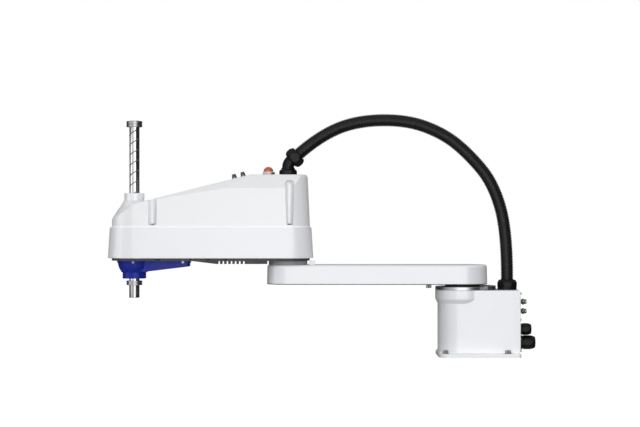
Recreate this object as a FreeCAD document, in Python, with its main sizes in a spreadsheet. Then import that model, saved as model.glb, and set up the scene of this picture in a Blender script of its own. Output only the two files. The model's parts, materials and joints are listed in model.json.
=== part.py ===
import FreeCAD, Part
import math
import os

# Four-axis selective-compliance robot: base, two level arms, a splined ball
# screw shaft, its drives, and the conduit that arches from base to forearm.
# Origin: first joint's axis at the base's underside. +Z up, the arm stretches
# towards -X, the rear panel faces +X.

V = FreeCAD.Vector
doc = FreeCAD.newDocument("ScaraRobot")
sheet = doc.addObject("Spreadsheet::Sheet", "Params")

DIMS = [
    ("reach_one", 425.0), ("reach_two", 375.0),
    # base
    ("foot_front", -61.5), ("foot_rear", 135.0), ("foot_half", 87.0), ("foot_thick", 9.5), ("foot_round", 26.0),
    ("base_rad", 60.6), ("base_half", 66.0), ("base_back", 134.0), ("base_flat", 120.0), ("base_top", 160.5),
    ("base_wall", 7.0), ("boss_rad", 66.2), ("deck_thick", 12.5), ("bolt_mid", 29.0), ("bolt_pitch", 150.0),
    ("ring_top", 168.8), ("gland_pos", 109.0),
    # first arm
    ("arm_low", 174.0), ("arm_high", 221.4), ("arm_rad_a", 60.5), ("arm_rad_b", 51.5), ("arm_skin", 6.0),
    # second arm
    ("pan_low", 237.5), ("pan_high", 312.0), ("pan_rad_a", 61.7), ("pan_rad_b", 64.4), ("pan_draft", 3.7),
    ("pan_floor", 10.0), ("plate_low", 231.5),
    ("cover_top", 440.5), ("cover_rad_a", 53.3), ("cover_rad_b", 57.6), ("cover_skin", 3.0),
    # shaft
    ("shaft_rad", 12.5), ("shaft_bore", 9.0), ("shaft_low", 140.8), ("shaft_high", 572.0), ("stop_rad", 19.25),
    # conduit
    ("conduit_rad", 15.35),
]
VALUE = {}
for n, (alias, value) in enumerate(DIMS, start=1):
    sheet.set("A%d" % n, alias)
    sheet.set("B%d" % n, repr(value))
    sheet.setAlias("B%d" % n, alias)
    VALUE[alias] = value
doc.recompute()


class Dim:
    """A length with its value and the expression that gives it."""

    def __init__(self, value, text):
        self.v = float(value)
        self.t = text

    def join(self, other, sign, back=False):
        o = other if isinstance(other, Dim) else Dim(other, "%.6g" % other)
        a, b = (o, self) if back else (self, o)
        v = {"+": a.v + b.v, "-": a.v - b.v, "*": a.v * b.v}[sign]
        return Dim(v, "(%s %s (%s))" % (a.t, sign, b.t))

    def __add__(self, o):
        return self.join(o, "+")

    def __radd__(self, o):
        return self.join(o, "+", True)

    def __sub__(self, o):
        return self.join(o, "-")

    def __rsub__(self, o):
        return self.join(o, "-", True)

    def __mul__(self, o):
        return self.join(o, "*")

    def __rmul__(self, o):
        return self.join(o, "*", True)

    def __neg__(self):
        return Dim(-self.v, "(0 - (%s))" % self.t)


def d(alias):
    return Dim(VALUE[alias], "Params." + alias)


def num(x):
    return x.v if isinstance(x, Dim) else float(x)


def bind(obj, prop, x):
    if isinstance(x, Dim):
        obj.setExpression(prop, x.t)


NODES = []


def keep(obj, label):
    obj.Label = label
    NODES.append(obj)
    return obj


def body(label, node=True):
    b = doc.addObject("PartDesign::Body", label)
    if node:
        keep(b, label)
    else:
        b.Label = label
    return b


def place(obj, x=None, y=None, z=None):
    p = FreeCAD.Placement(obj.Placement)
    p.Base = V(num(x or 0), num(y or 0), num(z or 0))
    obj.Placement = p
    for axis, val in (("x", x), ("y", y), ("z", z)):
        if isinstance(val, Dim):
            obj.setExpression("Placement.Base." + axis, val.t)
    return obj


def plane(b, role):
    for f in b.Origin.OriginFeatures:
        if f.Role == role:
            return f


def new_sketch(b, role, lift=None):
    sk = b.newObject("Sketcher::SketchObject", b.Name + "_profile")
    sk.AttachmentSupport = [(plane(b, role), "")]
    sk.MapMode = "FlatFace"
    if lift is not None:
        sk.AttachmentOffset = FreeCAD.Placement(V(0, 0, num(lift)), FreeCAD.Rotation())
        bind(sk, "AttachmentOffset.Base.z", lift)
    return sk


def pin(sk, geo, point, x, y):
    for kind, val in (("DistanceX", x), ("DistanceY", y)):
        k = sk.addConstraint(Sketch(kind, -1, 1, geo, point, num(val)))
        if isinstance(val, Dim):
            sk.setExpression("Constraints[%d]" % k, val.t)


def Sketch(*args):
    import Sketcher
    return Sketcher.Constraint(*args)


def polygon(sk, pts):
    base = sk.GeometryCount
    n = len(pts)
    for i in range(n):
        a, c = pts[i], pts[(i + 1) % n]
        sk.addGeometry(Part.LineSegment(V(num(a[0]), num(a[1]), 0), V(num(c[0]), num(c[1]), 0)))
    for i in range(n):
        sk.addConstraint(Sketch("Coincident", base + i, 2, base + (i + 1) % n, 1))
    for i in range(n):
        pin(sk, base + i, 1, pts[i][0], pts[i][1])
    return sk


def circle(sk, x, y, r):
    g = sk.addGeometry(Part.Circle(V(num(x), num(y), 0), V(0, 0, 1), num(r)))
    pin(sk, g, 3, x, y)
    k = sk.addConstraint(Sketch("Radius", g, num(r)))
    bind(sk, "Constraints[%d]" % k, r)
    return sk


def capsule(sk, xa, ra, xb, rb):
    """Two arcs about (xa, 0) and (xb, 0), xb < xa, with tangent sides."""
    A, B, RA, RB = num(xa), num(xb), num(ra), num(rb)
    tilt = math.asin((RA - RB) / (A - B))
    up = V(-math.sin(tilt), math.cos(tilt), 0)
    dn = V(-math.sin(tilt), -math.cos(tilt), 0)
    ang = math.atan2(up.y, up.x)
    g = sk.GeometryCount
    sk.addGeometry(Part.ArcOfCircle(Part.Circle(V(A, 0, 0), V(0, 0, 1), RA), -ang, ang))
    sk.addGeometry(Part.ArcOfCircle(Part.Circle(V(B, 0, 0), V(0, 0, 1), RB), ang, 2 * math.pi - ang))
    sk.addGeometry(Part.LineSegment(V(A, 0, 0) + up * RA, V(B, 0, 0) + up * RB))
    sk.addGeometry(Part.LineSegment(V(B, 0, 0) + dn * RB, V(A, 0, 0) + dn * RA))
    sk.addConstraint(Sketch("Tangent", g, 2, g + 2, 1))
    sk.addConstraint(Sketch("Tangent", g + 2, 2, g + 1, 1))
    sk.addConstraint(Sketch("Tangent", g + 1, 2, g + 3, 1))
    sk.addConstraint(Sketch("Tangent", g + 3, 2, g, 1))
    pin(sk, g, 3, xa, 0)
    pin(sk, g + 1, 3, xb, 0)
    for i, r in ((g, ra), (g + 1, rb)):
        k = sk.addConstraint(Sketch("Radius", i, num(r)))
        bind(sk, "Constraints[%d]" % k, r)
    return sk


def tip(b, feat, sketch=None):
    b.Tip = feat
    if sketch is not None:
        sketch.Visibility = False
    return feat


def pad(b, sk, length, draft=0.0, mid=False, down=False):
    f = b.newObject("PartDesign::Pad", b.Name + "_pad")
    f.Profile = sk
    f.Length = num(length)
    bind(f, "Length", length)
    if draft:
        f.TaperAngle = draft
    if mid:
        f.Midplane = True
    if down:
        f.Reversed = True
    return tip(b, f, sk)


def pocket(b, sk, length, mid=False, up=True):
    """Cuts from the sketch's plane, upwards when up is set."""
    doc.recompute()
    before = b.Shape.Volume
    f = b.newObject("PartDesign::Pocket", b.Name + "_pocket")
    f.Profile = sk
    f.Length = num(length)
    bind(f, "Length", length)
    if mid:
        f.Midplane = True
    elif up:
        f.Reversed = True
    tip(b, f, sk)
    doc.recompute()
    if not before - b.Shape.Volume > 1e-3:
        raise RuntimeError("pocket cuts nothing: " + b.Label)
    return f


def turn(b, pts, cut=False):
    """Revolution or groove of an (r, z) outline about the body's Z axis."""
    sk = polygon(new_sketch(b, "XZ_Plane"), pts)
    doc.recompute()
    before = b.Shape.Volume if cut else 0
    f = b.newObject("PartDesign::Groove" if cut else "PartDesign::Revolution", b.Name + "_turn")
    f.Profile = sk
    f.ReferenceAxis = (sk, ["V_Axis"])
    f.Angle = 360
    tip(b, f, sk)
    if cut:
        doc.recompute()
        if not before - b.Shape.Volume > 1e-3:
            raise RuntimeError("groove cuts nothing: " + b.Label)
    return f


def dress(b, kind, size, pick):
    doc.recompute()
    base = b.Tip
    names = ["Edge%d" % (i + 1) for i, e in enumerate(base.Shape.Edges) if pick(e)]
    if not names:
        raise RuntimeError("no edge picked: " + b.Label)
    f = b.newObject("PartDesign::" + kind, b.Name + "_" + kind.lower())
    f.Base = (base, names)
    if kind == "Fillet":
        f.Radius = num(size)
        bind(f, "Radius", size)
    else:
        f.Size = num(size)
        bind(f, "Size", size)
    tip(b, f)
    doc.recompute()
    if "Invalid" in f.State or f.Shape.isNull() or not f.Shape.isValid():
        raise RuntimeError("%s failed: %s" % (kind, b.Label))
    return f


def around(b, feats, count, angle=360.0):
    f = b.newObject("PartDesign::PolarPattern", b.Name + "_round")
    f.Originals = feats
    f.Axis = (feats[0].Profile[0], ["N_Axis"])
    f.Angle = angle
    f.Occurrences = count
    return tip(b, f)


def ring(label, pts, x=None, y=None, z=None):
    b = body(label)
    turn(b, pts)
    return place(b, x, y, z)


def prim(kind, name, **props):
    o = doc.addObject("Part::" + kind, name)
    for k, val in props.items():
        if k == "at":
            place(o, *val)
        elif k == "rot":
            p = FreeCAD.Placement(o.Placement)
            p.Rotation = val
            o.Placement = p
        elif k == "Polygon":
            o.Polygon = val
        else:
            setattr(o, k, num(val))
            bind(o, k, val)
    o.Visibility = False
    return o


def cut(a, b, name):
    o = doc.addObject("Part::Cut", name)
    o.Base, o.Tool = a, b
    return o


def fuse(parts, name):
    o = doc.addObject("Part::MultiFuse", name)
    o.Shapes = parts
    return o


def group(parts, name):
    o = doc.addObject("Part::Compound", name)
    o.Links = parts
    return o


def tube(name, r_out, r_in, height, at):
    a = prim("Cylinder", name + "_out", Radius=r_out, Height=height, at=at)
    b = prim("Cylinder", name + "_in", Radius=r_in, Height=height, at=at)
    return cut(a, b, name)


J2 = -d("reach_one")
J3 = -(d("reach_one") + d("reach_two"))

# ------------------------------------------------------------------ base
FT, BT, DK = d("foot_thick"), d("base_top"), d("deck_thick")

base = body("base_casting")
sk = polygon(new_sketch(base, "XY_Plane"), [
    (d("foot_front"), -d("foot_half")), (d("foot_rear"), -d("foot_half")),
    (d("foot_rear"), d("foot_half")), (d("foot_front"), d("foot_half"))])
pad(base, sk, FT)
dress(base, "Fillet", d("foot_round"), lambda e: e.Length < 12 and e.BoundBox.XMax < -60 and e.BoundBox.ZLength > 5)
dress(base, "Fillet", 6.0, lambda e: abs(e.Length - 9.5) < 1 and e.BoundBox.XMin > 130 and e.BoundBox.ZLength > 5)
dress(base, "Chamfer", 1.2, lambda e: e.BoundBox.ZMin > 9.4)


def trunk(sk, r, half, back, flat):
    """Round front about the first axis with two sides running to the rear."""
    g = sk.GeometryCount
    R, H, B, F = num(r), num(half), num(back), num(flat)
    sk.addGeometry(Part.ArcOfCircle(Part.Circle(V(0, 0, 0), V(0, 0, 1), R), math.pi / 2, 3 * math.pi / 2))
    pts = [(0, -R), (F, -H), (B, -H), (B, H), (F, H), (0, R)]
    for a, c in zip(pts[:-1], pts[1:]):
        sk.addGeometry(Part.LineSegment(V(a[0], a[1], 0), V(c[0], c[1], 0)))
    sk.addConstraint(Sketch("Coincident", g, 2, g + 1, 1))
    for i in range(1, 5):
        sk.addConstraint(Sketch("Coincident", g + i, 2, g + i + 1, 1))
    sk.addConstraint(Sketch("Coincident", g + 5, 2, g, 1))
    pin(sk, g, 3, 0, 0)
    k = sk.addConstraint(Sketch("Radius", g, R))
    bind(sk, "Constraints[%d]" % k, r)
    k = sk.addConstraint(Sketch("DistanceX", -1, 1, g, 1, 0.0))
    k = sk.addConstraint(Sketch("DistanceX", -1, 1, g, 2, 0.0))
    pin(sk, g + 2, 1, flat, -half if isinstance(half, Dim) else -H)
    pin(sk, g + 3, 1, back, -half if isinstance(half, Dim) else -H)
    pin(sk, g + 4, 1, back, half)
    pin(sk, g + 5, 1, flat, half)
    return sk


sk = trunk(new_sketch(base, "XY_Plane", FT), d("base_rad"), d("base_half"), d("base_back"), d("base_flat"))
pad(base, sk, BT - FT)
turn(base, [(30, BT), (d("boss_rad") - 1.0, BT), (d("boss_rad"), BT - 1.0), (d("boss_rad"), BT - 20.5),
            (d("boss_rad") - 0.8, BT - 23.5), (d("base_rad") + 0.6, BT - 31.0), (d("base_rad") - 0.5, BT - 33.5), (30, BT - 33.5)])
# hollow inside, open at the rear, with a floor under it
sk = trunk(new_sketch(base, "XY_Plane", 7.0), d("base_rad") - d("base_wall"), d("base_half") - d("base_wall"),
           d("base_back") - d("base_wall"), d("base_flat"))
pocket(base, sk, BT - DK - 7.0)
# reducer seat and conduit hole through the deck
sk = circle(new_sketch(base, "XY_Plane", BT - DK - 1), 0, 0, 44.0)
circle(sk, d("gland_pos"), 0, 16.0)
pocket(base, sk, DK + 2)
# rear opening behind the panel
sk = polygon(new_sketch(base, "YZ_Plane", d("base_back") - d("base_wall") - 1), [(-50, 18), (50, 18), (50, 146), (-50, 146)])
pocket(base, sk, d("base_wall") + 2)
# holes for the four mounting bolts
sk = new_sketch(base, "XY_Plane")
for sx in (-1, 1):
    for sy in (-1, 1):
        circle(sk, d("bolt_mid") + 0.5 * sx * d("bolt_pitch"), 0.5 * sy * d("bolt_pitch"), 4.5)
pocket(base, sk, FT + 1)

bolts = []
for sx in (-1, 1):
    for sy in (-1, 1):
        x, y = d("bolt_mid") + 0.5 * sx * d("bolt_pitch"), 0.5 * sy * d("bolt_pitch")
        head = prim("Cylinder", "bolt_head", Radius=6.5, Height=8.0, at=(x, y, FT))
        neck = prim("Cylinder", "bolt_neck", Radius=3.6, Height=FT + 0.5, at=(x, y, 0))
        thread = prim("Cylinder", "bolt_thread", Radius=4.0, Height=16.0, at=(x, y, -16.0))
        key = prim("Prism", "bolt_key", Polygon=6, Circumradius=3.5, Height=4.0, at=(x, y, FT + 4.0))
        bolts.append(cut(fuse([head, neck, thread], "bolt_blank"), key, "mounting_bolt"))
keep(group(bolts, "base_mounting_bolts"), "base_mounting_bolts")

panel = body("base_rear_panel")
sk = polygon(new_sketch(panel, "YZ_Plane", d("base_back")), [(-60, 11), (60, 11), (60, 157), (-60, 157)])
pad(panel, sk, 2.0)
dress(panel, "Fillet", 5.0, lambda e: abs(e.Length - 2) < 0.1)
sk = new_sketch(panel, "YZ_Plane", d("base_back") - 1)
for y, z, r in ((-20, 132, 6.0), (-20, 109, 6.0), (-14, 65, 10.0), (-14, 33, 12.5)):
    circle(sk, y, z, r)
for z in (15.5, 90.0, 152.5):
    for y in (-55.5, 55.5):
        circle(sk, y, z, 2.1)
pocket(panel, sk, 4.0)

screws = []
for z in (15.5, 90.0, 152.5):
    for y in (-55.5, 55.5):
        head = prim("Cylinder", "panel_screw_head", Radius=3.6, Height=1.9)
        head.Placement = FreeCAD.Placement(V(num(d("base_back")) + 2.0, y, z), FreeCAD.Rotation(V(0, 1, 0), 90))
        shank = prim("Cylinder", "panel_screw_shank", Radius=2.0, Height=2.0)
        shank.Placement = FreeCAD.Placement(V(num(d("base_back")), y, z), FreeCAD.Rotation(V(0, 1, 0), 90))
        screws.append(fuse([head, shank], "panel_screw"))
keep(group(screws, "rear_panel_screws"), "rear_panel_screws")


def lay_x(b, x, y, z):
    b.Placement = FreeCAD.Placement(V(num(x), y, z), FreeCAD.Rotation(V(0, 1, 0), 90))
    bind(b, "Placement.Base.x", x)
    return b


PX = d("base_back") + 2.0
# compressed-air fittings: local z runs out of the panel
air = []
for z in (132.0, 109.0):
    b = body("air_fitting", node=False)
    turn(b, [(3.0, -10), (5.8, -10), (5.8, 0), (9.2, 0), (9.2, 3.0), (7.4, 5.2), (7.4, 11.0), (5.6, 12.6), (5.6, 18.0), (4.0, 18.0), (3.0, 17.0)])
    lay_x(b, PX, -20, z)
    air.append(b)
keep(group(air, "rear_air_fittings"), "rear_air_fittings")


def gland(label, z, thread, bore, wide, long):
    b = body(label)
    turn(b, [(bore, -12), (thread, -12), (thread, 0), (wide, 0), (wide, 6), (wide - 1.2, 7), (wide - 1.2, 8.5), (wide + 0.2, 9.5),
             (wide + 0.2, long - 5), (wide - 2.2, long - 1.5), (wide - 5.5, long), (bore, long)])
    return lay_x(b, PX, -14, z)


gland("rear_upper_gland", 65.0, 9.8, 7.0, 14.4, 30.0)
gland("rear_lower_gland", 33.0, 12.3, 9.0, 17.0, 39.5)

# first joint, fixed side
ring("j1_bearing_outer_ring", [(33.0, BT), (65.4, BT), (66.0, BT + 0.6), (66.0, d("ring_top") - 0.8), (65.2, d("ring_top")), (33.0, d("ring_top"))])
spline_ring = body("j1_circular_spline")
turn(spline_ring, [(31.0, 144), (43.9, 144), (43.9, BT), (31.0, BT)])
ring("j1_motor_bracket", [(15.0, 126), (52.0, 126), (52.0, BT - DK), (44.4, BT - DK), (44.4, 132), (15.0, 132)])
motor = body("j1_motor")
sk = polygon(new_sketch(motor, "XY_Plane", 38.0), [(-30, -30), (30, -30), (30, 30), (-30, 30)])
pad(motor, sk, 88.0)
dress(motor, "Chamfer", 6.0, lambda e: e.Length > 80)
turn(motor, [(0, 126), (14.8, 126), (14.8, 129), (0, 129)])
turn(motor, [(0, 108), (7.3, 108), (7.3, 130), (0, 130)], cut=True)
ring("j1_oil_seal", [(33.4, d("ring_top")), (42.2, d("ring_top")), (42.2, d("ring_top") + 4.1), (41.4, d("ring_top") + 4.9), (33.4, d("ring_top") + 4.9)])

stop = body("j1_stop_block")
sk = new_sketch(stop, "XY_Plane", BT)
HALF = math.radians(46.0)
g0 = sk.addGeometry(Part.ArcOfCircle(Part.Circle(V(0, 0, 0), V(0, 0, 1), 81.0), -HALF, HALF))
g1 = sk.addGeometry(Part.ArcOfCircle(Part.Circle(V(0, 0, 0), V(0, 0, 1), 66.5), -HALF, HALF))
ca, sa = math.cos(HALF), math.sin(HALF)
g2 = sk.addGeometry(Part.LineSegment(V(81.0 * ca, 81.0 * sa, 0), V(66.5 * ca, 66.5 * sa, 0)))
g3 = sk.addGeometry(Part.LineSegment(V(66.5 * ca, -66.5 * sa, 0), V(81.0 * ca, -81.0 * sa, 0)))
for a, pa, c, pc in ((g0, 2, g2, 1), (g2, 2, g1, 2), (g1, 1, g3, 1), (g3, 2, g0, 1)):
    sk.addConstraint(Sketch("Coincident", a, pa, c, pc))
pin(sk, g0, 3, 0, 0)
pin(sk, g1, 3, 0, 0)
for g, r in ((g0, 81.0), (g1, 66.5)):
    sk.addConstraint(Sketch("Radius", g, r))
for g, r in ((g0, 81.0), (g1, 66.5)):
    sk.addConstraint(Sketch("DistanceY", -1, 1, g, 2, r * sa))
    sk.addConstraint(Sketch("DistanceY", g, 1, -1, 1, r * sa))
pad(stop, sk, 9.8)

# conduit gland on the deck
b = body("base_gland_body")
sk = circle(new_sketch(b, "XY_Plane", BT), 0, 0, 22.5)
pad(b, sk, 5.5)
turn(b, [(11.0, BT - DK - 7), (17.6, BT - DK - 7), (17.6, BT - DK), (15.8, BT - DK), (15.8, BT), (19.0, BT + 5.5), (19.0, BT + 6.0), (11.0, BT + 6.0)])
sk = circle(new_sketch(b, "XY_Plane", BT - DK - 8), 0, 0, 11.0)
pocket(b, sk, 40.0)
place(b, d("gland_pos"))
b = ring("base_gland_nut", [(11.0, BT + 6.0), (24.3, BT + 6.0), (24.3, BT + 18.0), (22.6, BT + 22.2), (19.6, BT + 24.2), (11.0, BT + 24.2)], d("gland_pos"))

# ------------------------------------------------------------------ first arm
AL, AH = d("arm_low"), d("arm_high")
arm = body("arm1_casting")
sk = capsule(new_sketch(arm, "XY_Plane", AL), 0, d("arm_rad_a"), J2, d("arm_rad_b"))
pad(arm, sk, AH - AL, draft=-1.2)
dress(arm, "Fillet", 6.0, lambda e: e.BoundBox.ZMin > num(AH) - 0.1)
dress(arm, "Chamfer", 1.3, lambda e: e.BoundBox.ZMax < num(AL) + 0.1)
ribs = [(-52, -122), (-128, -198), (-204, -274), (-280, -366)]
for x0, x1 in ribs:
    w0 = 60.5 + 9.0 * x0 / 425.0 - 7.5
    w1 = 60.5 + 9.0 * x1 / 425.0 - 7.5
    sk = polygon(new_sketch(arm, "XY_Plane", AL), [(x0, -w0), (x0, w0), (x1, w1), (x1, -w1)])
    pocket(arm, sk, AH - AL - d("arm_skin") - 1.0)
sk = circle(new_sketch(arm, "XY_Plane", AL), 0, 0, 17.0)
pocket(arm, sk, 26.0)
sk = circle(new_sketch(arm, "XY_Plane", AH - 16.4), J2, 0, 34.0)
pocket(arm, sk, 20.0)
sk = circle(new_sketch(arm, "XY_Plane", AL), J2, 0, 30.0)
pocket(arm, sk, 20.0)
sk = circle(new_sketch(arm, "XY_Plane", AL), -82.0, 0, 4.0)
sk = new_sketch(arm, "XY_Plane", AL)
for i in range(8):
    a = math.radians(22.5 + 45.0 * i)
    circle(sk, 25.0 * math.cos(a), 25.0 * math.sin(a), 2.1)
pocket(arm, sk, 14.0)

flex = body("j1_flexspline")
turn(flex, [(20.0, 158.0), (29.0, 158.0), (29.0, 144.5), (30.6, 144.5), (30.6, 160.8), (20.0, 160.8)])
inner = body("j1_bearing_inner_ring")
turn(inner, [(20.0, 160.8), (32.7, 160.8), (32.7, AL), (20.0, AL)])
for b in (flex, inner):
    sk = new_sketch(b, "XY_Plane", 157.0)
    for i in range(8):
        a = math.radians(22.5 + 45.0 * i)
        circle(sk, 25.0 * math.cos(a), 25.0 * math.sin(a), 2.1)
    pocket(b, sk, 20.0)
outs = []
for i in range(8):
    a = math.radians(22.5 + 45.0 * i)
    x, y = 25.0 * math.cos(a), 25.0 * math.sin(a)
    outs.append(fuse([prim("Cylinder", "out_head", Radius=3.5, Height=3.5, at=(x, y, 154.5)),
                      prim("Cylinder", "out_shank", Radius=2.0, Height=26.0, at=(x, y, 158.0))], "output_bolt"))
keep(group(outs, "j1_output_bolts"), "j1_output_bolts")

keep(fuse([prim("Cylinder", "stop_head", Radius=6.5, Height=9.9, at=(-82.0, 0, AL - 10.2)),
           prim("Cylinder", "stop_neck", Radius=8.0, Height=0.31, at=(-82.0, 0, AL - 0.31))], "j1_stop_bolt"), "j1_stop_bolt")

b = ring("j2_bearing_outer_ring", [(38.3, AH), (46.4, AH), (47.0, AH + 0.6), (47.0, AH + 8.8), (46.2, AH + 9.6), (38.3, AH + 9.6)], J2)
blk = body("j2_stop_block")
sk = polygon(new_sketch(blk, "XY_Plane", AH), [(51.5, -8), (66.0, -8), (66.0, 8), (51.5, 8)])
pad(blk, sk, 9.0)
dress(blk, "Fillet", 1.5, lambda e: e.BoundBox.ZMin > num(AH) + 8.9)
place(blk, J2)
ring("j2_flexspline", [(0, AH - 16.4), (31.0, AH - 16.4), (31.0, AH - 12.4), (30.6, AH - 12.4), (30.6, AH + 12.8), (29.0, AH + 12.8), (29.0, AH - 12.4), (0, AH - 12.4)], J2)

# ------------------------------------------------------------------ second arm
PL, PH, QL = d("pan_low"), d("pan_high"), d("plate_low")
pan = body("arm2_casting")
sk = capsule(new_sketch(pan, "XY_Plane", PL), 0, d("pan_rad_a"), -d("reach_two"), d("pan_rad_b"))
pad(pan, sk, PH - PL, draft=-3.7)
dress(pan, "Fillet", 1.6, lambda e: e.BoundBox.ZMax < num(PL) + 0.1)
sk = capsule(new_sketch(pan, "XY_Plane", PL + d("pan_floor")), 0, 49.0, -d("reach_two"), 52.0)
pocket(pan, sk, PH - PL)
sk = new_sketch(pan, "XY_Plane", 296.0)
for side in (1, -1):
    circle(sk, 4.0, side * 43.6, 7.5)
pad(pan, sk, PH - 296.0)
sk = new_sketch(pan, "XY_Plane", 299.0)
for side in (1, -1):
    circle(sk, 4.0, side * 43.6, 2.05)
    circle(sk, -326.0, side * 54.6, 2.05)
pocket(pan, sk, 14.0)
sk = circle(new_sketch(pan, "XY_Plane", PL), 0, 0, 24.2)
circle(sk, -d("reach_two"), 0, 27.8)
pocket(pan, sk, 12.0)
place(pan, J2)

plate = body("arm2_under_plate")
sk = capsule(new_sketch(plate, "XY_Plane", QL), 0, d("pan_rad_a") - 9.0, -d("reach_two"), d("pan_rad_b") - 9.5)
pad(plate, sk, PL - QL)
sk = circle(new_sketch(plate, "XY_Plane", QL), 0, 0, 38.3)
circle(sk, -d("reach_two"), 0, 27.8)
pocket(plate, sk, 12.0)
place(plate, J2)

# finned duct under the forearm: side outline, then gaps between the fins
duct = body("arm2_heat_sink")
sk = polygon(new_sketch(duct, "XZ_Plane"), [
    (-236.5, QL), (-236.5, QL - 0.8), (-173.5, 223.0), (-100.0, 223.0), (-68.0, 223.0), (-68.0, QL)])
pad(duct, sk, 38.0, mid=True)
sk = polygon(new_sketch(duct, "XZ_Plane"), [(-70.0, QL), (-70.0, 223.0), (-51.0, 223.0), (-51.0, QL)])
pad(duct, sk, 28.0, mid=True)
sk = new_sketch(duct, "XZ_Plane")
for i in range(7):
    x = -168.0 + 10.0 * i
    polygon(sk, [(x - 2.7, 222.0), (x + 2.7, 222.0), (x + 2.7, 230.0), (x - 2.7, 230.0)])
pocket(duct, sk, 100.0, mid=True)
place(duct, J2)

# nut housings about the shaft
ring("spline_nut_housing", [(21.5, 206), (27.5, 206), (27.5, PL + d("pan_floor")), (36.0, PL + d("pan_floor")), (36.0, PL + d("pan_floor") + 4.5),
                            (27.5, PL + d("pan_floor") + 4.5), (27.5, 255), (21.5, 255)], J3)
yoke = body("ball_nut_housing")
turn(yoke, [(21.5, 316), (27.0, 316), (27.0, 340), (21.5, 340)])
sk = polygon(new_sketch(yoke, "XY_Plane", 316.0), [(-15, -44), (15, -44), (15, 44), (-15, 44)])
circle(sk, 0, 0, 24.0)
pad(yoke, sk, 5.0)
sk = polygon(new_sketch(yoke, "XY_Plane", PL + d("pan_floor")), [(-15, 38), (15, 38), (15, 44), (-15, 44)])
polygon(sk, [(-15, -44), (15, -44), (15, -38), (-15, -38)])
pad(yoke, sk, 316.0 - (PL + d("pan_floor")))
turn(yoke, [(0, 310.0), (21.5, 310.0), (21.5, 345.0), (0, 345.0)], cut=True)
place(yoke, J3)

# motors in the forearm
FLOOR = PL + d("pan_floor")


def motor_up(label, x, z0, half, tall, shaft_z, bore=7.3, pilot=None, cham=5.0):
    m = body(label)
    pf = new_sketch(m, "XY_Plane", z0)
    polygon(pf, [(-half, -half), (half, -half), (half, half), (-half, half)])
    pad(m, pf, tall)
    dress(m, "Chamfer", cham, lambda e: e.Length > tall - 1 and e.BoundBox.ZLength > tall - 1)
    if pilot:
        turn(m, [(0, num(z0) - pilot[1]), (pilot[0], num(z0) - pilot[1]), (pilot[0], num(z0)), (0, num(z0))])
    turn(m, [(0, num(z0) - 12.0), (bore, num(z0) - 12.0), (bore, shaft_z), (0, shaft_z)], cut=True)
    return place(m, x)


motor_up("j2_motor", J2, FLOOR, 28.5, 104.0, 266.0, pilot=(24.0, 8.0))
motor_up("j4_motor", J2 - 150.0, 281.0, 26.0, 74.0, 295.0, bore=5.3)
motor_up("j3_motor", J2 - 230.0, 318.0, 26.0, 52.0, 332.0, bore=5.3)
brake = body("j3_brake")
sk = circle(new_sketch(brake, "XY_Plane", 370.0), 0, 0, 23.0)
pad(brake, sk, 24.0)
place(brake, J2 - 230.0)
for label, x, zt, th in (("j4_motor_bracket", J2 - 150.0, 276.0, 5.0), ("j3_motor_bracket", J2 - 230.0, 313.0, 5.0)):
    b = body(label)
    sk = polygon(new_sketch(b, "XY_Plane", zt), [(-28, -42), (28, -42), (28, 42), (-28, 42)])
    circle(sk, 0, 0, 16.0)
    pad(b, sk, th)
    sk = polygon(new_sketch(b, "XY_Plane", FLOOR), [(-28, 37), (28, 37), (28, 42), (-28, 42)])
    polygon(sk, [(-28, -42), (28, -42), (28, -37), (-28, -37)])
    pad(b, sk, zt - FLOOR)
    place(b, x)


def belt(label, x0, r0, x1, r1, z0, tall, thick=1.6):
    m = body(label)
    capsule(new_sketch(m, "XY_Plane", z0), 0, r0 + thick, x1, r1 + thick)
    sk2 = m.Group[-1]
    capsule(sk2, 0, r0, x1, r1)
    pad(m, sk2, tall)
    return place(m, x0)


belt("j4_belt", J2 - 150.0, 10.6, -225.0, 34.4, 259.0, 10.0)
belt("j3_belt", J2 - 230.0, 12.4, -145.0, 30.4, 301.0, 10.0)


def pulley(label, r, r_hub, bore, z0, z1, lower=None, upper=None, x=None):
    """A flanged pulley from z0 to z1 with optional sleeves (r, z) either side."""
    pts = [(bore, z0 if lower is None else lower[1])]
    if lower is not None:
        pts += [(lower[0], lower[1]), (lower[0], z0)]
    pts += [(r + 2.6, z0), (r + 2.6, z0 + 0.8), (r, z0 + 0.8), (r, z1 - 0.8), (r + 2.6, z1 - 0.8), (r + 2.6, z1)]
    if upper is not None:
        pts += [(upper[0], z1), (upper[0], upper[1])]
    pts += [(bore, z1 if upper is None else upper[1])]
    return ring(label, pts, x)


pulley("spline_nut_pulley", 34.0, 21.2, 12.8, 258.0, 270.0, lower=(21.2, 206.0), x=J3)
pulley("ball_nut_pulley", 30.0, 21.2, 12.8, 300.0, 312.0, lower=(18.0, 292.0), upper=(21.2, 345.0), x=J3)
pulley("j4_motor_pulley", 10.2, 5.0, 0.0, 258.0, 270.0, upper=(5.0, 294.0), x=J2 - 150.0)
pulley("j3_motor_pulley", 12.0, 5.0, 0.0, 300.0, 312.0, upper=(5.0, 331.0), x=J2 - 230.0)


def wave(label, z0, z1, shaft, x=None):
    m = body(label)
    sk3 = new_sketch(m, "XY_Plane", z0)
    g = sk3.addGeometry(Part.Ellipse(V(28.6, 0, 0), V(0, 27.8, 0), V(0, 0, 0)))
    pin(sk3, g, 3, 0, 0)
    pad(m, sk3, z1 - z0)
    sk3 = circle(new_sketch(m, "XY_Plane", shaft[0]), 0, 0, 7.0)
    pad(m, sk3, shaft[1] - shaft[0])
    return place(m, x)


wave("j1_wave_generator", 144.5, 153.5, (109.0, 146.0))
wave("j2_wave_generator", 224.0, 233.5, (230.0, 265.0), J2)

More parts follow.
